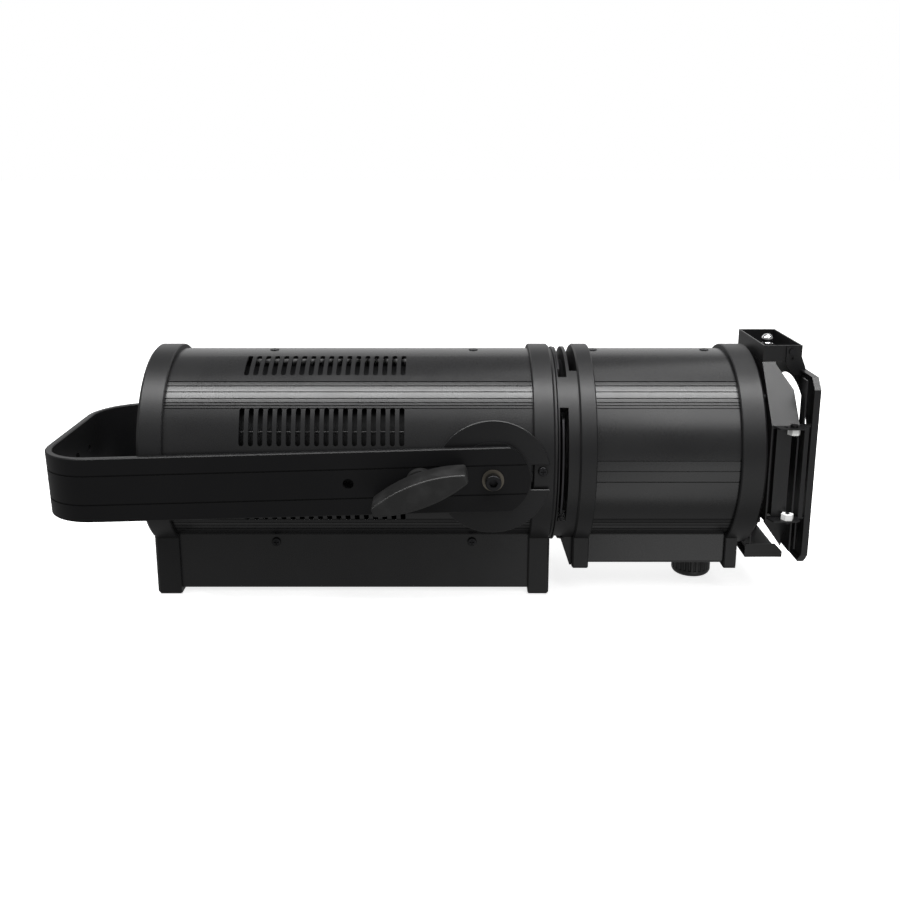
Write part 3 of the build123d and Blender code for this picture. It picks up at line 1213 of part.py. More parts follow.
SOCKET_BORE_R = 9.6
SOCKET_BORE_DEEP = 12.0
SOCKET_CORE_R = 7.4
PIN_R = 1.0
PIN_RING_R = 4.8
for label, spots in (("power_sockets", POWER_SOCKETS), ("data_sockets", DATA_SOCKETS)):
    with BuildPart() as sockets:
        with BuildSketch(across(PANEL_X)):
            with Locations(*spots):
                RectangleRounded(*SOCKET_FLANGE, 4)
        extrude(amount=-SOCKET_FLANGE_T)
        with BuildSketch(across(PANEL_X - 1)):
            with Locations(*spots):
                Circle(SOCKET_D / 2 - 0.2)
        extrude(amount=23)
        with BuildSketch(across(PANEL_X - SOCKET_FLANGE_T)):
            with Locations(*spots):
                Circle(SOCKET_BORE_R)
                if label == "power_sockets":
                    Circle(SOCKET_CORE_R, mode=Mode.SUBTRACT)
        extrude(amount=SOCKET_BORE_DEEP, mode=Mode.SUBTRACT)
        with BuildSketch(across(PANEL_X - SOCKET_FLANGE_T + SOCKET_BORE_DEEP)):
            with Locations(*spots):
                if label == "power_sockets":
                    with PolarLocations(PIN_RING_R, 3):
                        Rectangle(1.6, 3.6)
                else:
                    with PolarLocations(PIN_RING_R, 5):
                        Circle(PIN_R)
        if label == "power_sockets":
            extrude(amount=-SOCKET_BORE_DEEP, mode=Mode.SUBTRACT)
        else:
            extrude(amount=3 - SOCKET_BORE_DEEP)
    save(sockets.part, label)

with BuildPart() as fuse_holder:
    with BuildSketch(across(PANEL_X)):
        with Locations(FUSE_SPOT):
            Circle(FUSE_D / 2 + 2)
            with PolarLocations(FUSE_D / 2 + 2.4, 16):
                Circle(0.8, mode=Mode.SUBTRACT)
    extrude(amount=-3.6)
    with BuildSketch(across(PANEL_X - 3.6)):
        with Locations(FUSE_SPOT):
            Rectangle(9.0, 1.4)
    extrude(amount=1.2, mode=Mode.SUBTRACT)
    with BuildSketch(across(PANEL_X)):
        with Locations(FUSE_SPOT):
            Circle(FUSE_D / 2 - 0.1)
    extrude(amount=26)
save(fuse_holder.part, "fuse_holder")

EYE_MAJOR = 10.0
EYE_MINOR = 2.6
EYE_COLLAR = 3.0
with BuildPart() as safety_eye:
    with BuildSketch(across(PANEL_X)):
        with Locations(EYE_SPOT):
            Circle(EYE_D / 2 + 3)
    extrude(amount=-EYE_COLLAR)
    with BuildSketch(across(PANEL_X)):
        with Locations(EYE_SPOT):
            Circle(EYE_D / 2 - 0.1)
    extrude(amount=PANEL_T + 9)
    ring_x = PANEL_X - EYE_COLLAR - EYE_MAJOR - EYE_MINOR + 1
    with Locations(Location((ring_x, EYE_SPOT[0], AXIS_Z + EYE_SPOT[1]), (90, 0, 0))):
        Torus(EYE_MAJOR, EYE_MINOR)
    with BuildSketch(across(PANEL_X + PANEL_T)):
        with Locations(EYE_SPOT):
            RegularPolygon(6.5, 6, major_radius=False)
    extrude(amount=6)
save(safety_eye.part, "safety_eye")

# ---------------------------------------------------------------- lamp engine
BULKHEAD_X = X1 + 250.0
BULKHEAD_T = 3.0
ENGINE_BORE_R = 32.0
SINK_SIDE = 120.0
SINK_BASE_T = 8.0
FIN_COUNT = 13
FIN_T = 2.2
FIN_LEN = 86.0
FAN_T = 25.0
FAN_BORE_R = 57.0
FAN_HUB_R = 19.0
FAN_BLADES = 7
FAN_BLADE_LEAN = 35.0      # degrees from the axis
CONDENSER_R = 62.0
CONDENSER_WALL = 2.5
TRAY_LIP = 4.6             # the tray's inner lips reach this far in from its outside
with BuildPart() as engine_bulkhead:
    with BuildSketch(across(BULKHEAD_X)):
        add(keyhole(BODY_R - WALL - SEAT_GAP, BODY_HALF - TRAY_LIP - SEAT_GAP, TRAY_DROP - WALL, CORNER_R))
        Circle(ENGINE_BORE_R, mode=Mode.SUBTRACT)
        with Locations(*[(side * 26, -118) for side in SIDES]):
            SlotOverall(30, 10, mode=Mode.SUBTRACT)
    extrude(amount=BULKHEAD_T)
save(engine_bulkhead.part, "engine_bulkhead")

with BuildPart() as heat_sink:
    with BuildSketch(across(BULKHEAD_X)):
        Rectangle(SINK_SIDE, SINK_SIDE)
    extrude(amount=-SINK_BASE_T)
    with BuildSketch(across(BULKHEAD_X)):
        Circle(ENGINE_BORE_R - 0.3)
    extrude(amount=BULKHEAD_T)
    with BuildSketch(across(BULKHEAD_X - SINK_BASE_T)):
        with GridLocations((SINK_SIDE - FIN_T) / (FIN_COUNT - 1), 0, FIN_COUNT, 1):
            Rectangle(FIN_T, SINK_SIDE)
    extrude(amount=-FIN_LEN)
save(heat_sink.part, "heat_sink")

with BuildPart() as led_board:
    with BuildSketch(across(BULKHEAD_X + BULKHEAD_T)):
        Circle(ENGINE_BORE_R - 1)
    extrude(amount=1.6)
    with BuildSketch(across(BULKHEAD_X + BULKHEAD_T + 1.6)):
        with GridLocations(8, 8, 5, 5):
            Rectangle(5, 5)
    extrude(amount=1.0)
save(led_board.part, "led_board")

condenser_x = BULKHEAD_X + BULKHEAD_T
with BuildPart() as condenser_tube:
    with BuildSketch(across(condenser_x)):
        Circle(CONDENSER_R)
        Circle(CONDENSER_R - CONDENSER_WALL, mode=Mode.SUBTRACT)
    extrude(amount=X2 + 8 - condenser_x)
    with BuildSketch(across(condenser_x)):
        Circle(CONDENSER_R + 9)
        Circle(CONDENSER_R - CONDENSER_WALL, mode=Mode.SUBTRACT)
    extrude(amount=3)
    with BuildSketch(across(condenser_x + 70)):
        Circle(CONDENSER_R)
        Circle(CONDENSER_R - CONDENSER_WALL - 3, mode=Mode.SUBTRACT)
    extrude(amount=3)
save(condenser_tube.part, "condenser_tube")

with BuildPart() as condenser_lens:
    add(lens(condenser_x + 73, CONDENSER_R - CONDENSER_WALL - 0.1, 4.0, 22.0))
    revolve(axis=OPTICAL_AXIS)
save(condenser_lens.part, "condenser_lens")

fan_x = BULKHEAD_X - SINK_BASE_T - FIN_LEN - FAN_T
with BuildPart() as fan_frame:
    with BuildSketch(across(fan_x)):
        RectangleRounded(SINK_SIDE, SINK_SIDE, 6)
        Circle(FAN_BORE_R, mode=Mode.SUBTRACT)
        with GridLocations(SINK_SIDE - 15, SINK_SIDE - 15, 2, 2):
            Circle(2.2, mode=Mode.SUBTRACT)
    extrude(amount=FAN_T)
    with BuildSketch(across(fan_x)):
        Circle(FAN_HUB_R + 3)
        with PolarLocations(FAN_BORE_R / 2 + 10, 4, start_angle=45):
            Rectangle(FAN_BORE_R - 16, 4)
    extrude(amount=3)
    with BuildSketch(across(fan_x)):
        Circle(2.0)
    extrude(amount=FAN_T - 5)
save(fan_frame.part, "fan_frame")

with BuildPart() as fan_rotor:
    with BuildSketch(across(fan_x + 4)):
        Circle(FAN_HUB_R)
    extrude(amount=FAN_T - 6)
    spot = (fan_x + 4 + (FAN_T - 6) / 2, 0, AXIS_Z)
    lean = radians(FAN_BLADE_LEAN)
    for i in range(FAN_BLADES):
        turn = radians(360 / FAN_BLADES * i)
        out = (0, sin(turn), cos(turn))
        across_blade = (cos(lean), sin(lean) * cos(turn), -sin(lean) * sin(turn))
        with BuildSketch(Plane(origin=spot, x_dir=across_blade, z_dir=out).offset(FAN_HUB_R - 2)):
            Rectangle(20, 2.0)
        extrude(amount=FAN_BORE_R - 2.5 - FAN_HUB_R + 2)
    with BuildSketch(across(fan_x)):
        Circle(2.0 + RUN_FIT)
    extrude(amount=FAN_T - 4.5, mode=Mode.SUBTRACT)
save(fan_rotor.part, "fan_rotor")

SUPPLY_LEN = 200.0
SUPPLY_W = 90.0
SUPPLY_H = 38.0
supply_x = X1 + 30.0
with BuildPart() as power_supply:
    with BuildSketch(Plane.XY.offset(AXIS_Z - TRAY_DROP + WALL + 3)):
        with Locations((supply_x + SUPPLY_LEN / 2, 0)):
            RectangleRounded(SUPPLY_LEN, SUPPLY_W, 2)
    extrude(amount=SUPPLY_H)
    with BuildSketch(Plane.XY.offset(AXIS_Z - TRAY_DROP + WALL + 3 + SUPPLY_H)):
        with Locations((supply_x + 12, 0)):
            Rectangle(16, SUPPLY_W - 12)
    extrude(amount=-16, mode=Mode.SUBTRACT)
    with BuildSketch(Plane.XY.offset(AXIS_Z - TRAY_DROP + WALL)):
        with Locations((supply_x + SUPPLY_LEN / 2, 0)):
            with GridLocations(SUPPLY_LEN - 24, SUPPLY_W - 20, 2, 2):
                Circle(5)
    extrude(amount=3)
save(power_supply.part, "power_supply")

# ---------------------------------------------------------------- outside screws
def pan_screw(plane, length, head=SCREW_HEAD_T):
    """Screw with a cross recess, its head of that height on the plane, shank going inwards."""
    with BuildPart() as screw:
        with BuildSketch(plane):
            Circle(SCREW_HEAD_D / 2)
        extrude(amount=head)
        fillet(screw.faces().sort_by(Axis(plane.origin, plane.z_dir))[-1].edges(), head / 2)
        with BuildSketch(plane.offset(head)):
            Rectangle(5.2, 1.1)
            Rectangle(1.1, 5.2)
        extrude(amount=-0.6 * head, mode=Mode.SUBTRACT)
        with BuildSketch(plane):
            Circle(SCREW_D / 2)
        extrude(amount=-length)
    return screw.part


top_planes = [Plane(origin=(x, 0, AXIS_Z + BODY_R), x_dir=(1, 0, 0), z_dir=(0, 0, 1)) for x in TOP_SCREWS]
joint_planes = [side_plane(x, side * BODY_HALF, AXIS_Z - TRAY_JOINT_DROP, side)
                for x in TRAY_SCREWS for side in SIDES]
notch_planes = [side_plane(NOTCH_SCREW[0], side * FRAME_R, NOTCH_SCREW[1], side) for side in SIDES]
with BuildPart() as housing_screws:
    for plane in top_planes:
        add(pan_screw(plane, 8.0, LOW_HEAD_T))
    for plane in joint_planes + notch_planes:
        add(pan_screw(plane, 8.0))
save(housing_screws.part, "housing_screws")

with BuildPart() as barrel_screws:
    for x in TUBE_TOP_SCREWS:
        top = Plane(origin=(x, 0, AXIS_Z + BODY_R), x_dir=(1, 0, 0), z_dir=(0, 0, 1))
        add(pan_screw(top, 8.0, LOW_HEAD_T))
save(barrel_screws.part, "barrel_screws")
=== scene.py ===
"""Profile spotlight for the stage: floor, light, camera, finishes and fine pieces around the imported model."""
import json
import math

import bmesh
import bpy
from mathutils import Matrix, Vector


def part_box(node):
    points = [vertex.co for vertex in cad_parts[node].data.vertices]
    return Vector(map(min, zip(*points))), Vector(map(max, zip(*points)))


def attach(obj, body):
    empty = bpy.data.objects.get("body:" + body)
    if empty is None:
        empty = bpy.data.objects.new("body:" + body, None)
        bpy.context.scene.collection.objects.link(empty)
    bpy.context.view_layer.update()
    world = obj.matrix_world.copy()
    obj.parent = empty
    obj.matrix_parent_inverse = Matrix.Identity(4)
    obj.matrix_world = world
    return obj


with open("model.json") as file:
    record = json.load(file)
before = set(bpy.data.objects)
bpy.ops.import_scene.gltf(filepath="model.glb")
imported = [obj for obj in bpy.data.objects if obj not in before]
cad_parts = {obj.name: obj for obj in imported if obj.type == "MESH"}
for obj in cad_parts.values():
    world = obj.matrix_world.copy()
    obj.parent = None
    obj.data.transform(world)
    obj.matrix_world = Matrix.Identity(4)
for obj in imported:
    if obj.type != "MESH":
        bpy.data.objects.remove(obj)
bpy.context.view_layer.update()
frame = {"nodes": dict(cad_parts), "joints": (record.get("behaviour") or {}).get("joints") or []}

bl_info = {
    "name": "Profile spotlight",
    "version": (1, 0, 0),
    "blender": (4, 5, 0),
    "location": "3D View > Sidebar > Spotlight",
    "description": "Finishes, fine pieces and a small studio for a stage profile spotlight",
    "category": "Object",
}

MM = 0.001
JOINTS = {joint["name"]: joint for joint in frame["joints"]}
PIVOT = Vector(JOINTS["yoke_tilt"]["pos_m"])
AXIS_Z = JOINTS["fan_spin"]["pos_m"][2]


def low(node):
    """Lowest corner of a node at rest."""
    return Vector(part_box(node)[0])


def high(node):
    """Highest corner of a node at rest."""
    return Vector(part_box(node)[1])


# ------------------------------------------------------------------ shader building
class Socket:
    """An output socket that takes arithmetic; every expression adds its Math nodes."""

    def __init__(self, tree, link):
        self.tree = tree
        self.link = link

    def _math(self, operation, first, second):
        return self.tree.node("ShaderNodeMath", {"operation": operation}, {0: first, 1: second})

    def __add__(self, other):
        return self._math("ADD", self, other)

    def __radd__(self, other):
        return self._math("ADD", other, self)

    def __sub__(self, other):
        return self._math("SUBTRACT", self, other)

    def __mul__(self, other):
        return self._math("MULTIPLY", self, other)

    def __rmul__(self, other):
        return self._math("MULTIPLY", other, self)

    def __gt__(self, other):
        return self._math("GREATER_THAN", self, other)


class Finish:
    """A node material around one Principled shader."""

    def __init__(self, name, colour, roughness, metallic=0.0, **fixed):
        self.material = bpy.data.materials.new(name)
        self.material.use_nodes = True
        self.nodes = self.material.node_tree.nodes
        self.links = self.material.node_tree.links
        self.shader = self.nodes["Principled BSDF"]
        self.material.diffuse_color = (*colour, 1.0)
        self.shader.inputs["Base Color"].default_value = (*colour, 1.0)
        self.shader.inputs["Roughness"].default_value = roughness
        self.shader.inputs["Metallic"].default_value = metallic
        for key, value in fixed.items():
            self.shader.inputs[key.replace("_", " ")].default_value = value

    def node(self, kind, settings=None, inputs=None, output=0):
        """Add any node: settings first, then values or links of its sockets."""
        made = self.nodes.new(kind)
        for key, value in (settings or {}).items():
            setattr(made, key, value)
        for key, value in (inputs or {}).items():
            if isinstance(value, Socket):
                self.links.new(value.link, made.inputs[key])
            else:
                made.inputs[key].default_value = value
        return Socket(self, made.outputs[output])

    def place(self):
        """Object coordinates, in metres."""
        return self.node("ShaderNodeTexCoord", output="Object")

    def stretched(self, scale):
        """Object coordinates with their own scale along X, Y and Z."""
        return self.node("ShaderNodeMapping", {}, {"Vector": self.place(), "Scale": scale})

    def noise(self, size, detail=3.0, rough=0.5, where=None):
        """Noise between 0 and 1 whose features are about one size, in metres."""
        inputs = {"Vector": where or self.place(), "Scale": 1.0 / size, "Detail": detail, "Roughness": rough}
        return self.node("ShaderNodeTexNoise", {}, inputs)

    def ease(self, value, start, stop, to_low=0.0, to_high=1.0):
        """Map a value's range to another range, clamped."""
        inputs = {0: value, 1: start, 2: stop, 3: to_low, 4: to_high}
        return self.node("ShaderNodeMapRange", {"clamp": True}, inputs)

    def blend(self, factor, first, second):
        """Mix two colours."""
        made = self.nodes.new("ShaderNodeMix")
        made.data_type = "RGBA"
        for key, value in ((0, factor), (6, first), (7, second)):
            if isinstance(value, Socket):
                self.links.new(value.link, made.inputs[key])
            else:
                made.inputs[key].default_value = value if key == 0 else (*value, 1.0)
        return Socket(self, made.outputs[2])

    def split(self, vector, axis):
        """One component of a vector."""
        return self.node("ShaderNodeSeparateXYZ", {}, {0: vector}, axis)

    def feed(self, name, value):
        """Link a value to a socket of the shader."""
        self.links.new(value.link, self.shader.inputs[name])

    def bump(self, height, distance, strength=1.0):
        """Bump from a height, deep in metres."""
        inputs = {"Height": height, "Distance": distance, "Strength": strength}
        self.feed("Normal", self.node("ShaderNodeBump", {}, inputs))


SMUDGE_SIZE = 60 * MM       # of the coats
SPECK_SIZE = 0.35 * MM
LINE_SIZE = 0.5 * MM        # of bare metal
STAIN_SIZE = 14 * MM


def powder_coat(name, colour, roughness, grain=1.1 * MM, depth=0.05 * MM, dust=0.35, shine=0.5):
    """Satin powder coat: orange peel, soft smudges and a little settled dust."""
    coat = Finish(name, colour, roughness, Specular_IOR_Level=shine)
    peel = coat.noise(grain, 2.0)
    smudge = coat.noise(SMUDGE_SIZE, 4.0, 0.6)
    fine = coat.noise(SPECK_SIZE, 1.0)
    lighter = tuple(c * 1.5 + 0.003 for c in colour)
    coat.feed("Base Color", coat.blend(coat.ease(smudge, 0.35, 0.75) * dust, colour, lighter))
    coat.feed("Roughness", roughness - 0.02 + coat.ease(smudge, 0.3, 0.7) * 0.04 + (fine - 0.5) * 0.05)
    coat.bump(peel * 0.8 + fine * 0.2, depth)
    return coat.material


def plain_metal(name, colour, roughness, drawn=None):
    """Bare metal with fine machining lines along one direction."""
    metal = Finish(name, colour, roughness, 1.0)
    where = metal.stretched(drawn) if drawn else metal.place()
    lines = metal.noise(LINE_SIZE, 3.0, 0.6, where)
    stain = metal.noise(STAIN_SIZE, 3.0)
    darker = tuple(c * 0.78 for c in colour)
    metal.feed("Base Color", metal.blend(metal.ease(stain, 0.3, 0.8), colour, darker))
    metal.feed("Roughness", roughness + (lines - 0.5) * 0.16 + metal.ease(stain, 0.3, 0.8) * 0.08)
    metal.bump(lines, 0.02 * MM)
    return metal.material


def moulded(name, colour, roughness, spark=0.5 * MM, depth=0.04 * MM):
    """Moulded plastic with a spark-eroded texture."""
    plastic = Finish(name, colour, roughness, Specular_IOR_Level=0.45)
    texture = plastic.noise(spark, 2.0, 0.7)
    wear = plastic.noise(18 * MM, 4.0)
    lighter = tuple(min(1.0, c * 1.35 + 0.01) for c in colour)
    plastic.feed("Base Color", plastic.blend(plastic.ease(wear, 0.45, 0.8), colour, lighter))
    plastic.feed("Roughness", roughness + (texture - 0.5) * 0.12)
    plastic.bump(texture, depth)
    return plastic.material


def lens_glass():
    """Pressed optical glass with the faintest haze."""
    glass = Finish("lens glass", (0.96, 0.98, 0.98), 0.02, IOR=1.5, Transmission_Weight=1.0)
    haze = glass.noise(30 * MM, 4.0)
    glass.feed("Roughness", glass.ease(haze, 0.5, 0.9, 0.01, 0.06))
    return glass.material


def circuit_board():
    """Green solder mask over paler copper runs."""
    mask, copper = (0.02, 0.16, 0.07), (0.10, 0.30, 0.12)
    board = Finish("solder mask", mask, 0.35)
    cells = board.node("ShaderNodeTexVoronoi", {"distance": "CHEBYCHEV"},
                       {"Vector": board.place(), "Scale": 180.0})
    runs = board.noise(5 * MM, 2.0)
    track = board.ease(cells, 0.30, 0.34)
    board.feed("Base Color", board.blend(track * board.ease(runs, 0.4, 0.6), mask, copper))
    board.feed("Roughness", 0.3 + runs * 0.15)
    board.bump(track, 0.03 * MM)
    return board.material


def led_phosphor():
    """Yellow phosphor of unlit emitters."""
    phosphor = Finish("phosphor", (0.92, 0.80, 0.25), 0.4)
    speck = phosphor.noise(1.0 * MM, 2.0)
    shade = phosphor.ease(speck, 0.3, 0.8)
    phosphor.feed("Base Color", phosphor.blend(shade, (0.95, 0.83, 0.25), (0.80, 0.66, 0.14)))
    phosphor.feed("Roughness", 0.3 + speck * 0.2)
    return phosphor.material


def display_face():
    """Dark glossy window with a faint dot grid behind it."""
    window = Finish("display window", (0.01, 0.02, 0.03), 0.08, Coat_Weight=0.6, Coat_Roughness=0.05)
    half_pitch, gap = 0.45 * MM, 0.16 * MM
    columns, rows = (window.node("ShaderNodeMath", {"operation": "PINGPONG"},
                                 {0: window.split(window.place(), axis), 1: half_pitch})
                     for axis in (1, 2))
    dot = (columns > gap) * (rows > gap)
    window.feed("Base Color", window.blend(dot * 0.7, (0.004, 0.008, 0.012), (0.02, 0.045, 0.06)))
    window.feed("Roughness", window.ease(window.noise(12 * MM), 0.3, 0.8, 0.05, 0.16))
    return window.material


FINISHES = {}


def set_up_finishes(colours):
    """Make every finish once."""
    FINISHES.update(
        cast=powder_coat("cast black coat", colours.cast, 0.42, 1.4 * MM, 0.06 * MM, 0.25, 0.40),
        shell=powder_coat("shell black coat", colours.shell, 0.28, 1.1 * MM, 0.03 * MM),
        sheet=powder_coat("sheet black coat", colours.cast, 0.36, 0.9 * MM, 0.05 * MM, 0.25, 0.36),
        yoke=powder_coat("yoke black coat", colours.cast, 0.40, 1.0 * MM, 0.04 * MM, 0.1, 0.18),
        inner=plain_metal("inner metal", (0.30, 0.30, 0.31), 0.42),
        steel=plain_metal("zinc steel", (0.70, 0.70, 0.71), 0.26),
        dark_steel=plain_metal("black steel", (0.035, 0.035, 0.037), 0.36),
        washer=plain_metal("bronzed steel", (0.16, 0.145, 0.12), 0.45),
        chrome=plain_metal("bright chrome", (0.88, 0.88, 0.89), 0.06),
        blade=plain_metal("shutter steel", (0.06, 0.06, 0.062), 0.42, (1, 1, 0.05)),
        nut=moulded("white nut plastic", (0.82, 0.82, 0.80), 0.35, 0.8 * MM, 0.02 * MM),
        jaw=moulded("jaw plastic", (0.012, 0.012, 0.012), 0.5),
        knob=moulded("knob plastic", (0.010, 0.010, 0.010), 0.42),
        button=moulded("button rubber", (0.16, 0.16, 0.165), 0.6),
        socket=moulded("socket plastic", (0.03, 0.035, 0.045), 0.45),
        fan=moulded("fan plastic", (0.025, 0.025, 0.025), 0.4),
        sink=plain_metal("extruded aluminium", (0.55, 0.55, 0.56), 0.34, (0.05, 1, 1)),
        supply=plain_metal("supply case", (0.50, 0.50, 0.49), 0.3, (1, 0.1, 1)),
        glass=lens_glass(), circuit=circuit_board(), phosphor=led_phosphor(), display=display_face(),
        print=moulded("panel print", (0.72, 0.72, 0.70), 0.5),
    )


NODE_FINISH = {
    "cast": ("rear_frame", "mid_frame", "tube_rear_frame", "tube_front_frame", "gate_ring", "slot_ring"),
    "shell": ("main_shell", "bottom_tray", "lens_shell", "lens_shell_cover", "rear_panel"),
    "sheet": ("colour_frame_holder", "holder_front_plate", "frame_retainer",
              "tilt_disc_right", "tilt_disc_left"),
    "yoke": ("yoke",),
    "inner": ("pivot_blocks", "engine_bulkhead", "condenser_tube", "rear_lens_ring",
              "lens_carriage", "gate_plates"),
    "steel": ("guide_rods",),
    "washer": ("pivot_washers",),
    "dark_steel": ("pivot_bolts", "housing_screws", "barrel_screws", "panel_screws",
                   "holder_screws", "holder_spacers", "safety_eye"),
    "chrome": ("retainer_nut",),
    "blade": ("shutter_top", "shutter_right", "shutter_left", "shutter_bottom"),
    "nut": ("holder_nuts",),
    "jaw": ("tilt_jaws", "barrel_bearing"),
    "knob": ("tilt_knob_right", "tilt_knob_left", "focus_knob", "fuse_holder"),
    "button": ("menu_button", "up_button", "down_button", "enter_button"),
    "socket": ("power_sockets", "data_sockets"),
    "fan": ("fan_frame", "fan_rotor"),
    "sink": ("heat_sink",),
    "supply": ("power_supply",),
    "glass": ("front_lens", "rear_lens", "condenser_lens"),
    "circuit": ("control_board",),
    "phosphor": ("led_board",),
    "display": ("display_window",),
}


def finish_of(piece, key):
    """Give a piece one finish."""
    piece.data.materials.clear()
    piece.data.materials.append(FINISHES[key])


def add_piece(name, mesh, body, finish, smooth=True):
    """Make an object from a bmesh, with its finish, body and slot."""
    data = bpy.data.meshes.new(name)
    bmesh.ops.recalc_face_normals(mesh, faces=mesh.faces)
    mesh.to_mesh(data)
    mesh.free()
    piece = bpy.data.objects.new(name, data)
    bpy.context.scene.collection.objects.link(piece)
    if smooth:
        data.polygons.foreach_set("use_smooth", [True] * len(data.polygons))
        data.set_sharp_from_angle(angle=math.radians(35))
    finish_of(piece, finish)
    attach(piece, body)
    return piece


def once(elements):
    """Mesh elements without repeats, in an order that is the same each run."""
    return list(dict.fromkeys(elements))


def put(mesh, corners, centre, turn=None):
    """Turn corners about the origin, then move them to their centre."""
    if turn:
        bmesh.ops.rotate(mesh, cent=(0, 0, 0), matrix=turn, verts=corners)
    bmesh.ops.translate(mesh, vec=Vector(centre), verts=corners)


def block(mesh, size, centre, turn=None, rounding=0.0):
    """Add a box with rounded edges to a bmesh."""
    corners = bmesh.ops.create_cube(mesh, size=1.0)["verts"]
    bmesh.ops.scale(mesh, vec=Vector(size), verts=corners)
    if rounding:
        edges = once(edge for corner in corners for edge in corner.link_edges)
        bevelled = bmesh.ops.bevel(mesh, geom=edges, offset=rounding, offset_type="OFFSET", segments=2,
                                   profile=0.5, affect="EDGES", material=-1)
        corners = once([v for face in bevelled["faces"] for v in face.verts]
                       + [v for v in corners if v.is_valid])
    put(mesh, corners, centre, turn)


def prism(mesh, sides, radius, depth, centre, turn):
    """Add a short prism along Z, then turned, to a bmesh."""
    corners = bmesh.ops.create_cone(mesh, cap_ends=True, segments=sides, radius1=radius, radius2=radius,
                                    depth=depth)["verts"]
    put(mesh, corners, centre, turn)


# ------------------------------------------------------------------ settings
class FinishSettings(bpy.types.PropertyGroup):
    """Colours of the coats."""

    cast: bpy.props.FloatVectorProperty(
        name="Castings", description="Coat of castings, sheet and yoke", subtype="COLOR",
        default=(0.006, 0.006, 0.0065), min=0, max=1)
    shell: bpy.props.FloatVectorProperty(
        name="Shells", description="Coat of the shells, tray and rear panel", subtype="COLOR",
        default=(0.009, 0.009, 0.0095), min=0, max=1)


class StudioSettings(bpy.types.PropertyGroup):
    """Floor, light and camera."""

    floor: bpy.props.FloatVectorProperty(
        name="Floor", description="Colour of floor and backdrop", subtype="COLOR",
        default=(0.90, 0.90, 0.90), min=0, max=1)
    glow: bpy.props.FloatProperty(
        name="Glow", description="Light that the floor gives by itself", default=0.8, min=0, max=2)
    sky: bpy.props.FloatProperty(
        name="Surroundings", description="Brightness of the room in reflections",
        default=0.28, min=0, max=2)
    light: bpy.props.FloatProperty(
        name="Light", description="Scales all softboxes together", default=1.0, min=0, max=10)
    lens: bpy.props.FloatProperty(
        name="Lens", description="Focal length of the camera", default=43.2, unit="CAMERA", min=10)
    distance: bpy.props.FloatProperty(
        name="Distance", description="Camera to the middle plane", default=1.1497, unit="LENGTH", min=0.2)
    height: bpy.props.FloatProperty(
        name="Height", description="Camera above the optical axis", default=0.3242, unit="LENGTH")
    pitch: bpy.props.FloatProperty(
        name="Pitch", description="Camera pitch down", default=math.radians(14.14),
        subtype="ANGLE", unit="ROTATION")
    behind_pivot: bpy.props.FloatProperty(
        name="Behind pivot", description="Camera behind the tilt pivot along X", default=0.043,
        unit="LENGTH")


FLOOR_HALF = 12.0
FLOOR_GAP = 0.2 * MM
CAMERA_SHIFT = -0.0424

# Softboxes: name, radiance, width and height, and place from the tilt pivot, in metres
SOFTBOXES = (
    ("top_strip", 20.0, (3.2, 0.28), (0.0, -0.44, 1.6)),
    ("top_right", 1.3, (0.6, 1.3), (0.62, 0.55, 1.6)),
    ("front_right", 4.0, (0.62, 1.1), (0.68, -1.42, 1.6)),
    ("front_left", 0.6, (1.3, 0.7), (-0.35, -1.05, 1.6)),
    ("low_right", 1.1, (0.5, 1.3), (0.50, -1.25, -0.72)),
    ("far_wall", 0.65, (5.0, 1.8), (0.0, 2.8, 1.0)),
)


# ------------------------------------------------------------------ sizes of the fine pieces
# Bars behind the side vents; angles are from the top, lengths start at the rear end of the shell
BAR_START = 84 * MM
BAR_LENGTH = 172 * MM
BAR_ANGLES = (68.5, 111.5)
BAR_REACH = 99.4 * MM
BAR_WIDTH = 4.5 * MM
BAR_THICKNESS = 1.4 * MM
BAR_ROUNDING = 0.3 * MM

# Dark sheet behind the vents: painted shade that stands for the shade inside the housing
SHADE_SHEET_START = 70 * MM
SHADE_SHEET_LENGTH = 200 * MM
SHADE_SHEET_REACH = 92 * MM
SHADE_SHEET_THICKNESS = 0.8 * MM
SHADE_SHEET_HALF_ANGLE = 118
SHADE_SHEET_STEPS = 72

# Print of the rear panel; the panel's face lies behind the button's outer face
BUTTON_PROUD = 2.2 * MM
INK = 0.1 * MM
UNDER_BUTTON = 11.0 * MM
RULE_HEIGHT = 0.7 * MM
BUTTON_RULE = 4.6 * MM
BUTTON_RULE_PITCH = 1.6 * MM
DOT_RADIUS = 2.2 * MM
ARROW_RADIUS = 2.6 * MM
SOCKET_HALF = 13.5 * MM
SOCKET_RULE = 8 * MM
SOCKET_RULE_GAP = 3.0 * MM
SOCKET_RULE_PITCH = 1.5 * MM

DOME_RADIUS = 2.3 * MM
DOME_SUNK = 0.2 * MM
DOME_PITCH = 8 * MM
DOME_ROWS = 5


# ------------------------------------------------------------------ operators
class SPOT_OT_finishes(bpy.types.Operator):
    """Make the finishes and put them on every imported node"""

    bl_idname = "spot.finishes"
    bl_label = "Finishes"

    def execute(self, context):
        set_up_finishes(context.scene.spot_finish)
        for key, names in NODE_FINISH.items():
            for name in names:
                finish_of(frame["nodes"][name], key)
        missed = set(frame["nodes"]) - {n for names in NODE_FINISH.values() for n in names}
        if missed:
            raise RuntimeError(f"no finish for {sorted(missed)}")
        return {"FINISHED"}


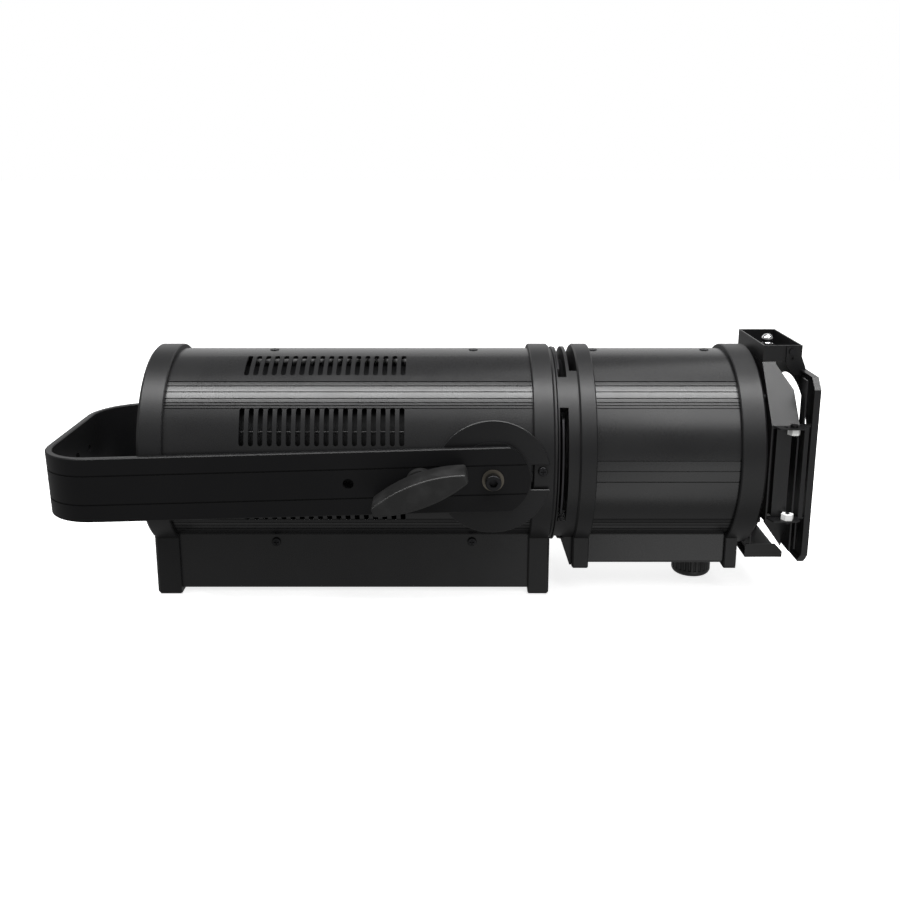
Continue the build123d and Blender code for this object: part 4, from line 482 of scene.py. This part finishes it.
class SPOT_OT_vent_bars(bpy.types.Operator):
    """Thin bars that run behind the vent slots inside the main shell"""

    bl_idname = "spot.vent_bars"
    bl_label = "Vent bars"

    def execute(self, context):
        start = low("main_shell").x + BAR_START
        stop = start + BAR_LENGTH
        mesh = bmesh.new()
        for side in (-1, 1):
            for angle in BAR_ANGLES:
                turn = math.radians(angle) * side
                centre = ((start + stop) / 2, BAR_REACH * math.sin(turn), AXIS_Z + BAR_REACH * math.cos(turn))
                block(mesh, (stop - start, BAR_WIDTH, BAR_THICKNESS), centre,
                      Matrix.Rotation(-turn + math.pi / 2, 3, "X"), BAR_ROUNDING)
        add_piece("vent_bars", mesh, "housing", "sheet", smooth=False)
        return {"FINISHED"}


class SPOT_OT_painted_shade_sheet(bpy.types.Operator):
    """Bent dark sheet behind the vent slots: painted shade, a dark stand-in for the shade inside the housing"""

    bl_idname = "spot.light_baffle"
    bl_label = "Painted shade sheet"

    def execute(self, context):
        start = low("main_shell").x + SHADE_SHEET_START
        stop = start + SHADE_SHEET_LENGTH
        steps = range(SHADE_SHEET_STEPS + 1)
        angles = [math.radians(-SHADE_SHEET_HALF_ANGLE + 2 * SHADE_SHEET_HALF_ANGLE * i / SHADE_SHEET_STEPS) for i in steps]
        mesh = bmesh.new()
        rings = []
        for radius in (SHADE_SHEET_REACH, SHADE_SHEET_REACH - SHADE_SHEET_THICKNESS):
            for x in (start, stop):
                rings.append([mesh.verts.new((x, radius * math.sin(a), AXIS_Z + radius * math.cos(a)))
                              for a in angles])
        outer_back, outer_front, inner_back, inner_front = rings
        for first, second in ((outer_back, outer_front), (inner_front, inner_back),
                              (inner_back, outer_back), (outer_front, inner_front)):
            for i in range(SHADE_SHEET_STEPS):
                mesh.faces.new((first[i], first[i + 1], second[i + 1], second[i]))
        for i in (0, -1):
            mesh.faces.new((outer_back[i], outer_front[i], inner_front[i], inner_back[i]))
        add_piece("light_baffle", mesh, "housing", "sheet")
        return {"FINISHED"}


class SPOT_OT_panel_print(bpy.types.Operator):
    """Plain pictograms by the buttons and sockets of the rear panel"""

    bl_idname = "spot.panel_print"
    bl_label = "Panel print"

    def execute(self, context):
        face = low("menu_button").x + BUTTON_PROUD
        ink_x = face - INK / 2
        mesh = bmesh.new()
        facing = Matrix.Rotation(math.pi / 2, 3, "Y")
        for name in ("menu_button", "up_button", "down_button", "enter_button"):
            centre = (low(name) + high(name)) / 2
            spot = Vector((ink_x, centre.y, centre.z - UNDER_BUTTON))
            if name == "menu_button":
                for i in (-1, 0, 1):
                    block(mesh, (INK, BUTTON_RULE, RULE_HEIGHT), spot + Vector((0, 0, i * BUTTON_RULE_PITCH)))
            elif name == "enter_button":
                prism(mesh, 32, DOT_RADIUS, INK, spot, facing)
            else:
                way = 1 if name == "up_button" else -1
                prism(mesh, 3, ARROW_RADIUS, INK, spot, Matrix.Rotation(-way * math.pi / 2, 3, "Y"))
        for node, count in (("power_sockets", 1), ("data_sockets", 2)):
            box_low, box_high = low(node), high(node)
            for y in (box_low.y + SOCKET_HALF, box_high.y - SOCKET_HALF):
                for i in range(count):
                    z = box_high.z + SOCKET_RULE_GAP + i * SOCKET_RULE_PITCH
                    block(mesh, (INK, SOCKET_RULE, RULE_HEIGHT), (ink_x, y, z))
        add_piece("panel_print", mesh, "housing", "print", smooth=False)
        return {"FINISHED"}


class SPOT_OT_emitters(bpy.types.Operator):
    """Clear domes over the emitters of the lamp board"""

    bl_idname = "spot.emitters"
    bl_label = "Emitter domes"

    def execute(self, context):
        face = high("led_board").x
        mesh = bmesh.new()
        for row in range(DOME_ROWS):
            for column in range(DOME_ROWS):
                dome = bmesh.ops.create_uvsphere(mesh, u_segments=16, v_segments=8,
                                                 radius=DOME_RADIUS)["verts"]
                faces = once(f for v in dome for f in v.link_faces)
                edges = once(e for v in dome for e in v.link_edges)
                below = bmesh.ops.bisect_plane(mesh, geom=[*faces, *dome, *edges], clear_outer=True,
                                               plane_co=(DOME_SUNK, 0, 0), plane_no=(-1, 0, 0))
                kept = [v for v in mesh.verts if v.co.length < 2 * DOME_RADIUS]
                rim = [v for v in below["geom_cut"] if isinstance(v, bmesh.types.BMVert)]
                mesh.faces.new(sorted(rim, key=lambda v: math.atan2(v.co.z, v.co.y)))
                middle = (DOME_ROWS - 1) / 2
                spot = (face, (column - middle) * DOME_PITCH, AXIS_Z + (row - middle) * DOME_PITCH)
                bmesh.ops.translate(mesh, vec=Vector(spot), verts=kept)
        add_piece("emitter_domes", mesh, "housing", "glass")
        return {"FINISHED"}


class SPOT_OT_stage(bpy.types.Operator):
    """Floor, backdrop, softboxes and camera"""

    bl_idname = "spot.stage"
    bl_label = "Studio"

    def execute(self, context):
        studio = context.scene.spot_studio
        mesh = bmesh.new()
        bmesh.ops.create_grid(mesh, x_segments=1, y_segments=1, size=FLOOR_HALF)
        data = bpy.data.meshes.new("floor")
        mesh.to_mesh(data)
        mesh.free()
        floor = bpy.data.objects.new("floor", data)
        context.scene.collection.objects.link(floor)
        floor.location.z = -FLOOR_GAP
        floor.visible_diffuse = False
        floor.visible_glossy = False
        floor.visible_shadow = False
        ground = Finish("studio floor", tuple(studio.floor), 0.75, Specular_IOR_Level=0.15,
                        Emission_Strength=studio.glow, Emission_Color=(1.0, 1.0, 1.0, 1.0))
        mottle = ground.noise(0.6, 3.0)
        base = tuple(studio.floor)
        ground.feed("Base Color", ground.blend(mottle, base, tuple(c * 0.985 for c in base)))
        data.materials.append(ground.material)

        world = bpy.data.worlds.new("studio")
        context.scene.world = world
        world.use_nodes = True
        nodes, links = world.node_tree.nodes, world.node_tree.links
        seen = nodes.new("ShaderNodeLightPath")
        strength = nodes.new("ShaderNodeMapRange")
        strength.inputs["To Min"].default_value = studio.sky
        strength.inputs["To Max"].default_value = 1.0
        links.new(seen.outputs["Is Camera Ray"], strength.inputs["Value"])
        links.new(strength.outputs["Result"], nodes["Background"].inputs["Strength"])
        nodes["Background"].inputs["Color"].default_value = (1.0, 1.0, 1.0, 1.0)

        middle = Vector((PIVOT.x, 0, AXIS_Z))
        for name, radiance, size, place in SOFTBOXES:
            lamp = bpy.data.lights.new(name, "AREA")
            lamp.shape = "RECTANGLE"
            lamp.size, lamp.size_y = size
            lamp.energy = studio.light * radiance * math.pi * size[0] * size[1]
            box = bpy.data.objects.new(name, lamp)
            box.location = middle + Vector(place)
            box.rotation_euler = (-Vector(place)).to_track_quat("-Z", "Y").to_euler()
            box.visible_camera = False
            context.scene.collection.objects.link(box)

        eye = bpy.data.cameras.new("camera")
        eye.lens = studio.lens
        eye.sensor_width = 36.0
        eye.shift_y = CAMERA_SHIFT
        eye.clip_end = 60.0
        camera = bpy.data.objects.new("camera", eye)
        camera.location = (PIVOT.x - studio.behind_pivot, -studio.distance, AXIS_Z + studio.height)
        camera.rotation_euler = (math.pi / 2 - studio.pitch, 0, 0)
        context.scene.collection.objects.link(camera)
        context.scene.camera = camera
        context.scene.view_settings.view_transform = "Standard"
        return {"FINISHED"}


STEPS = (SPOT_OT_stage, SPOT_OT_finishes, SPOT_OT_vent_bars, SPOT_OT_painted_shade_sheet, SPOT_OT_panel_print,
         SPOT_OT_emitters)


class SPOT_PT_panel(bpy.types.Panel):
    """Lists the settings and steps"""

    bl_idname = "SPOT_PT_panel"
    bl_label = "Profile spotlight"
    bl_space_type = "VIEW_3D"
    bl_region_type = "UI"
    bl_category = "Spotlight"

    def draw(self, context):
        layout = self.layout
        for settings in (context.scene.spot_finish, context.scene.spot_studio):
            for key in settings.bl_rna.properties.keys():
                if key not in {"rna_type", "name"}:
                    layout.prop(settings, key)
        for step in STEPS:
            layout.operator(step.bl_idname)


CLASSES = (FinishSettings, StudioSettings, *STEPS, SPOT_PT_panel)


def register():
    """Register the classes and settings."""
    for cls in CLASSES:
        bpy.utils.register_class(cls)
    bpy.types.Scene.spot_finish = bpy.props.PointerProperty(type=FinishSettings)
    bpy.types.Scene.spot_studio = bpy.props.PointerProperty(type=StudioSettings)


def unregister():
    """Take the classes and settings away again."""
    del bpy.types.Scene.spot_studio
    del bpy.types.Scene.spot_finish
    for cls in reversed(CLASSES):
        bpy.utils.unregister_class(cls)


def main():
    """Make everything in order."""
    register()
    for step in STEPS:
        group, name = step.bl_idname.split(".")
        getattr(getattr(bpy.ops, group), name)()


if __name__ == "__main__":
    main()
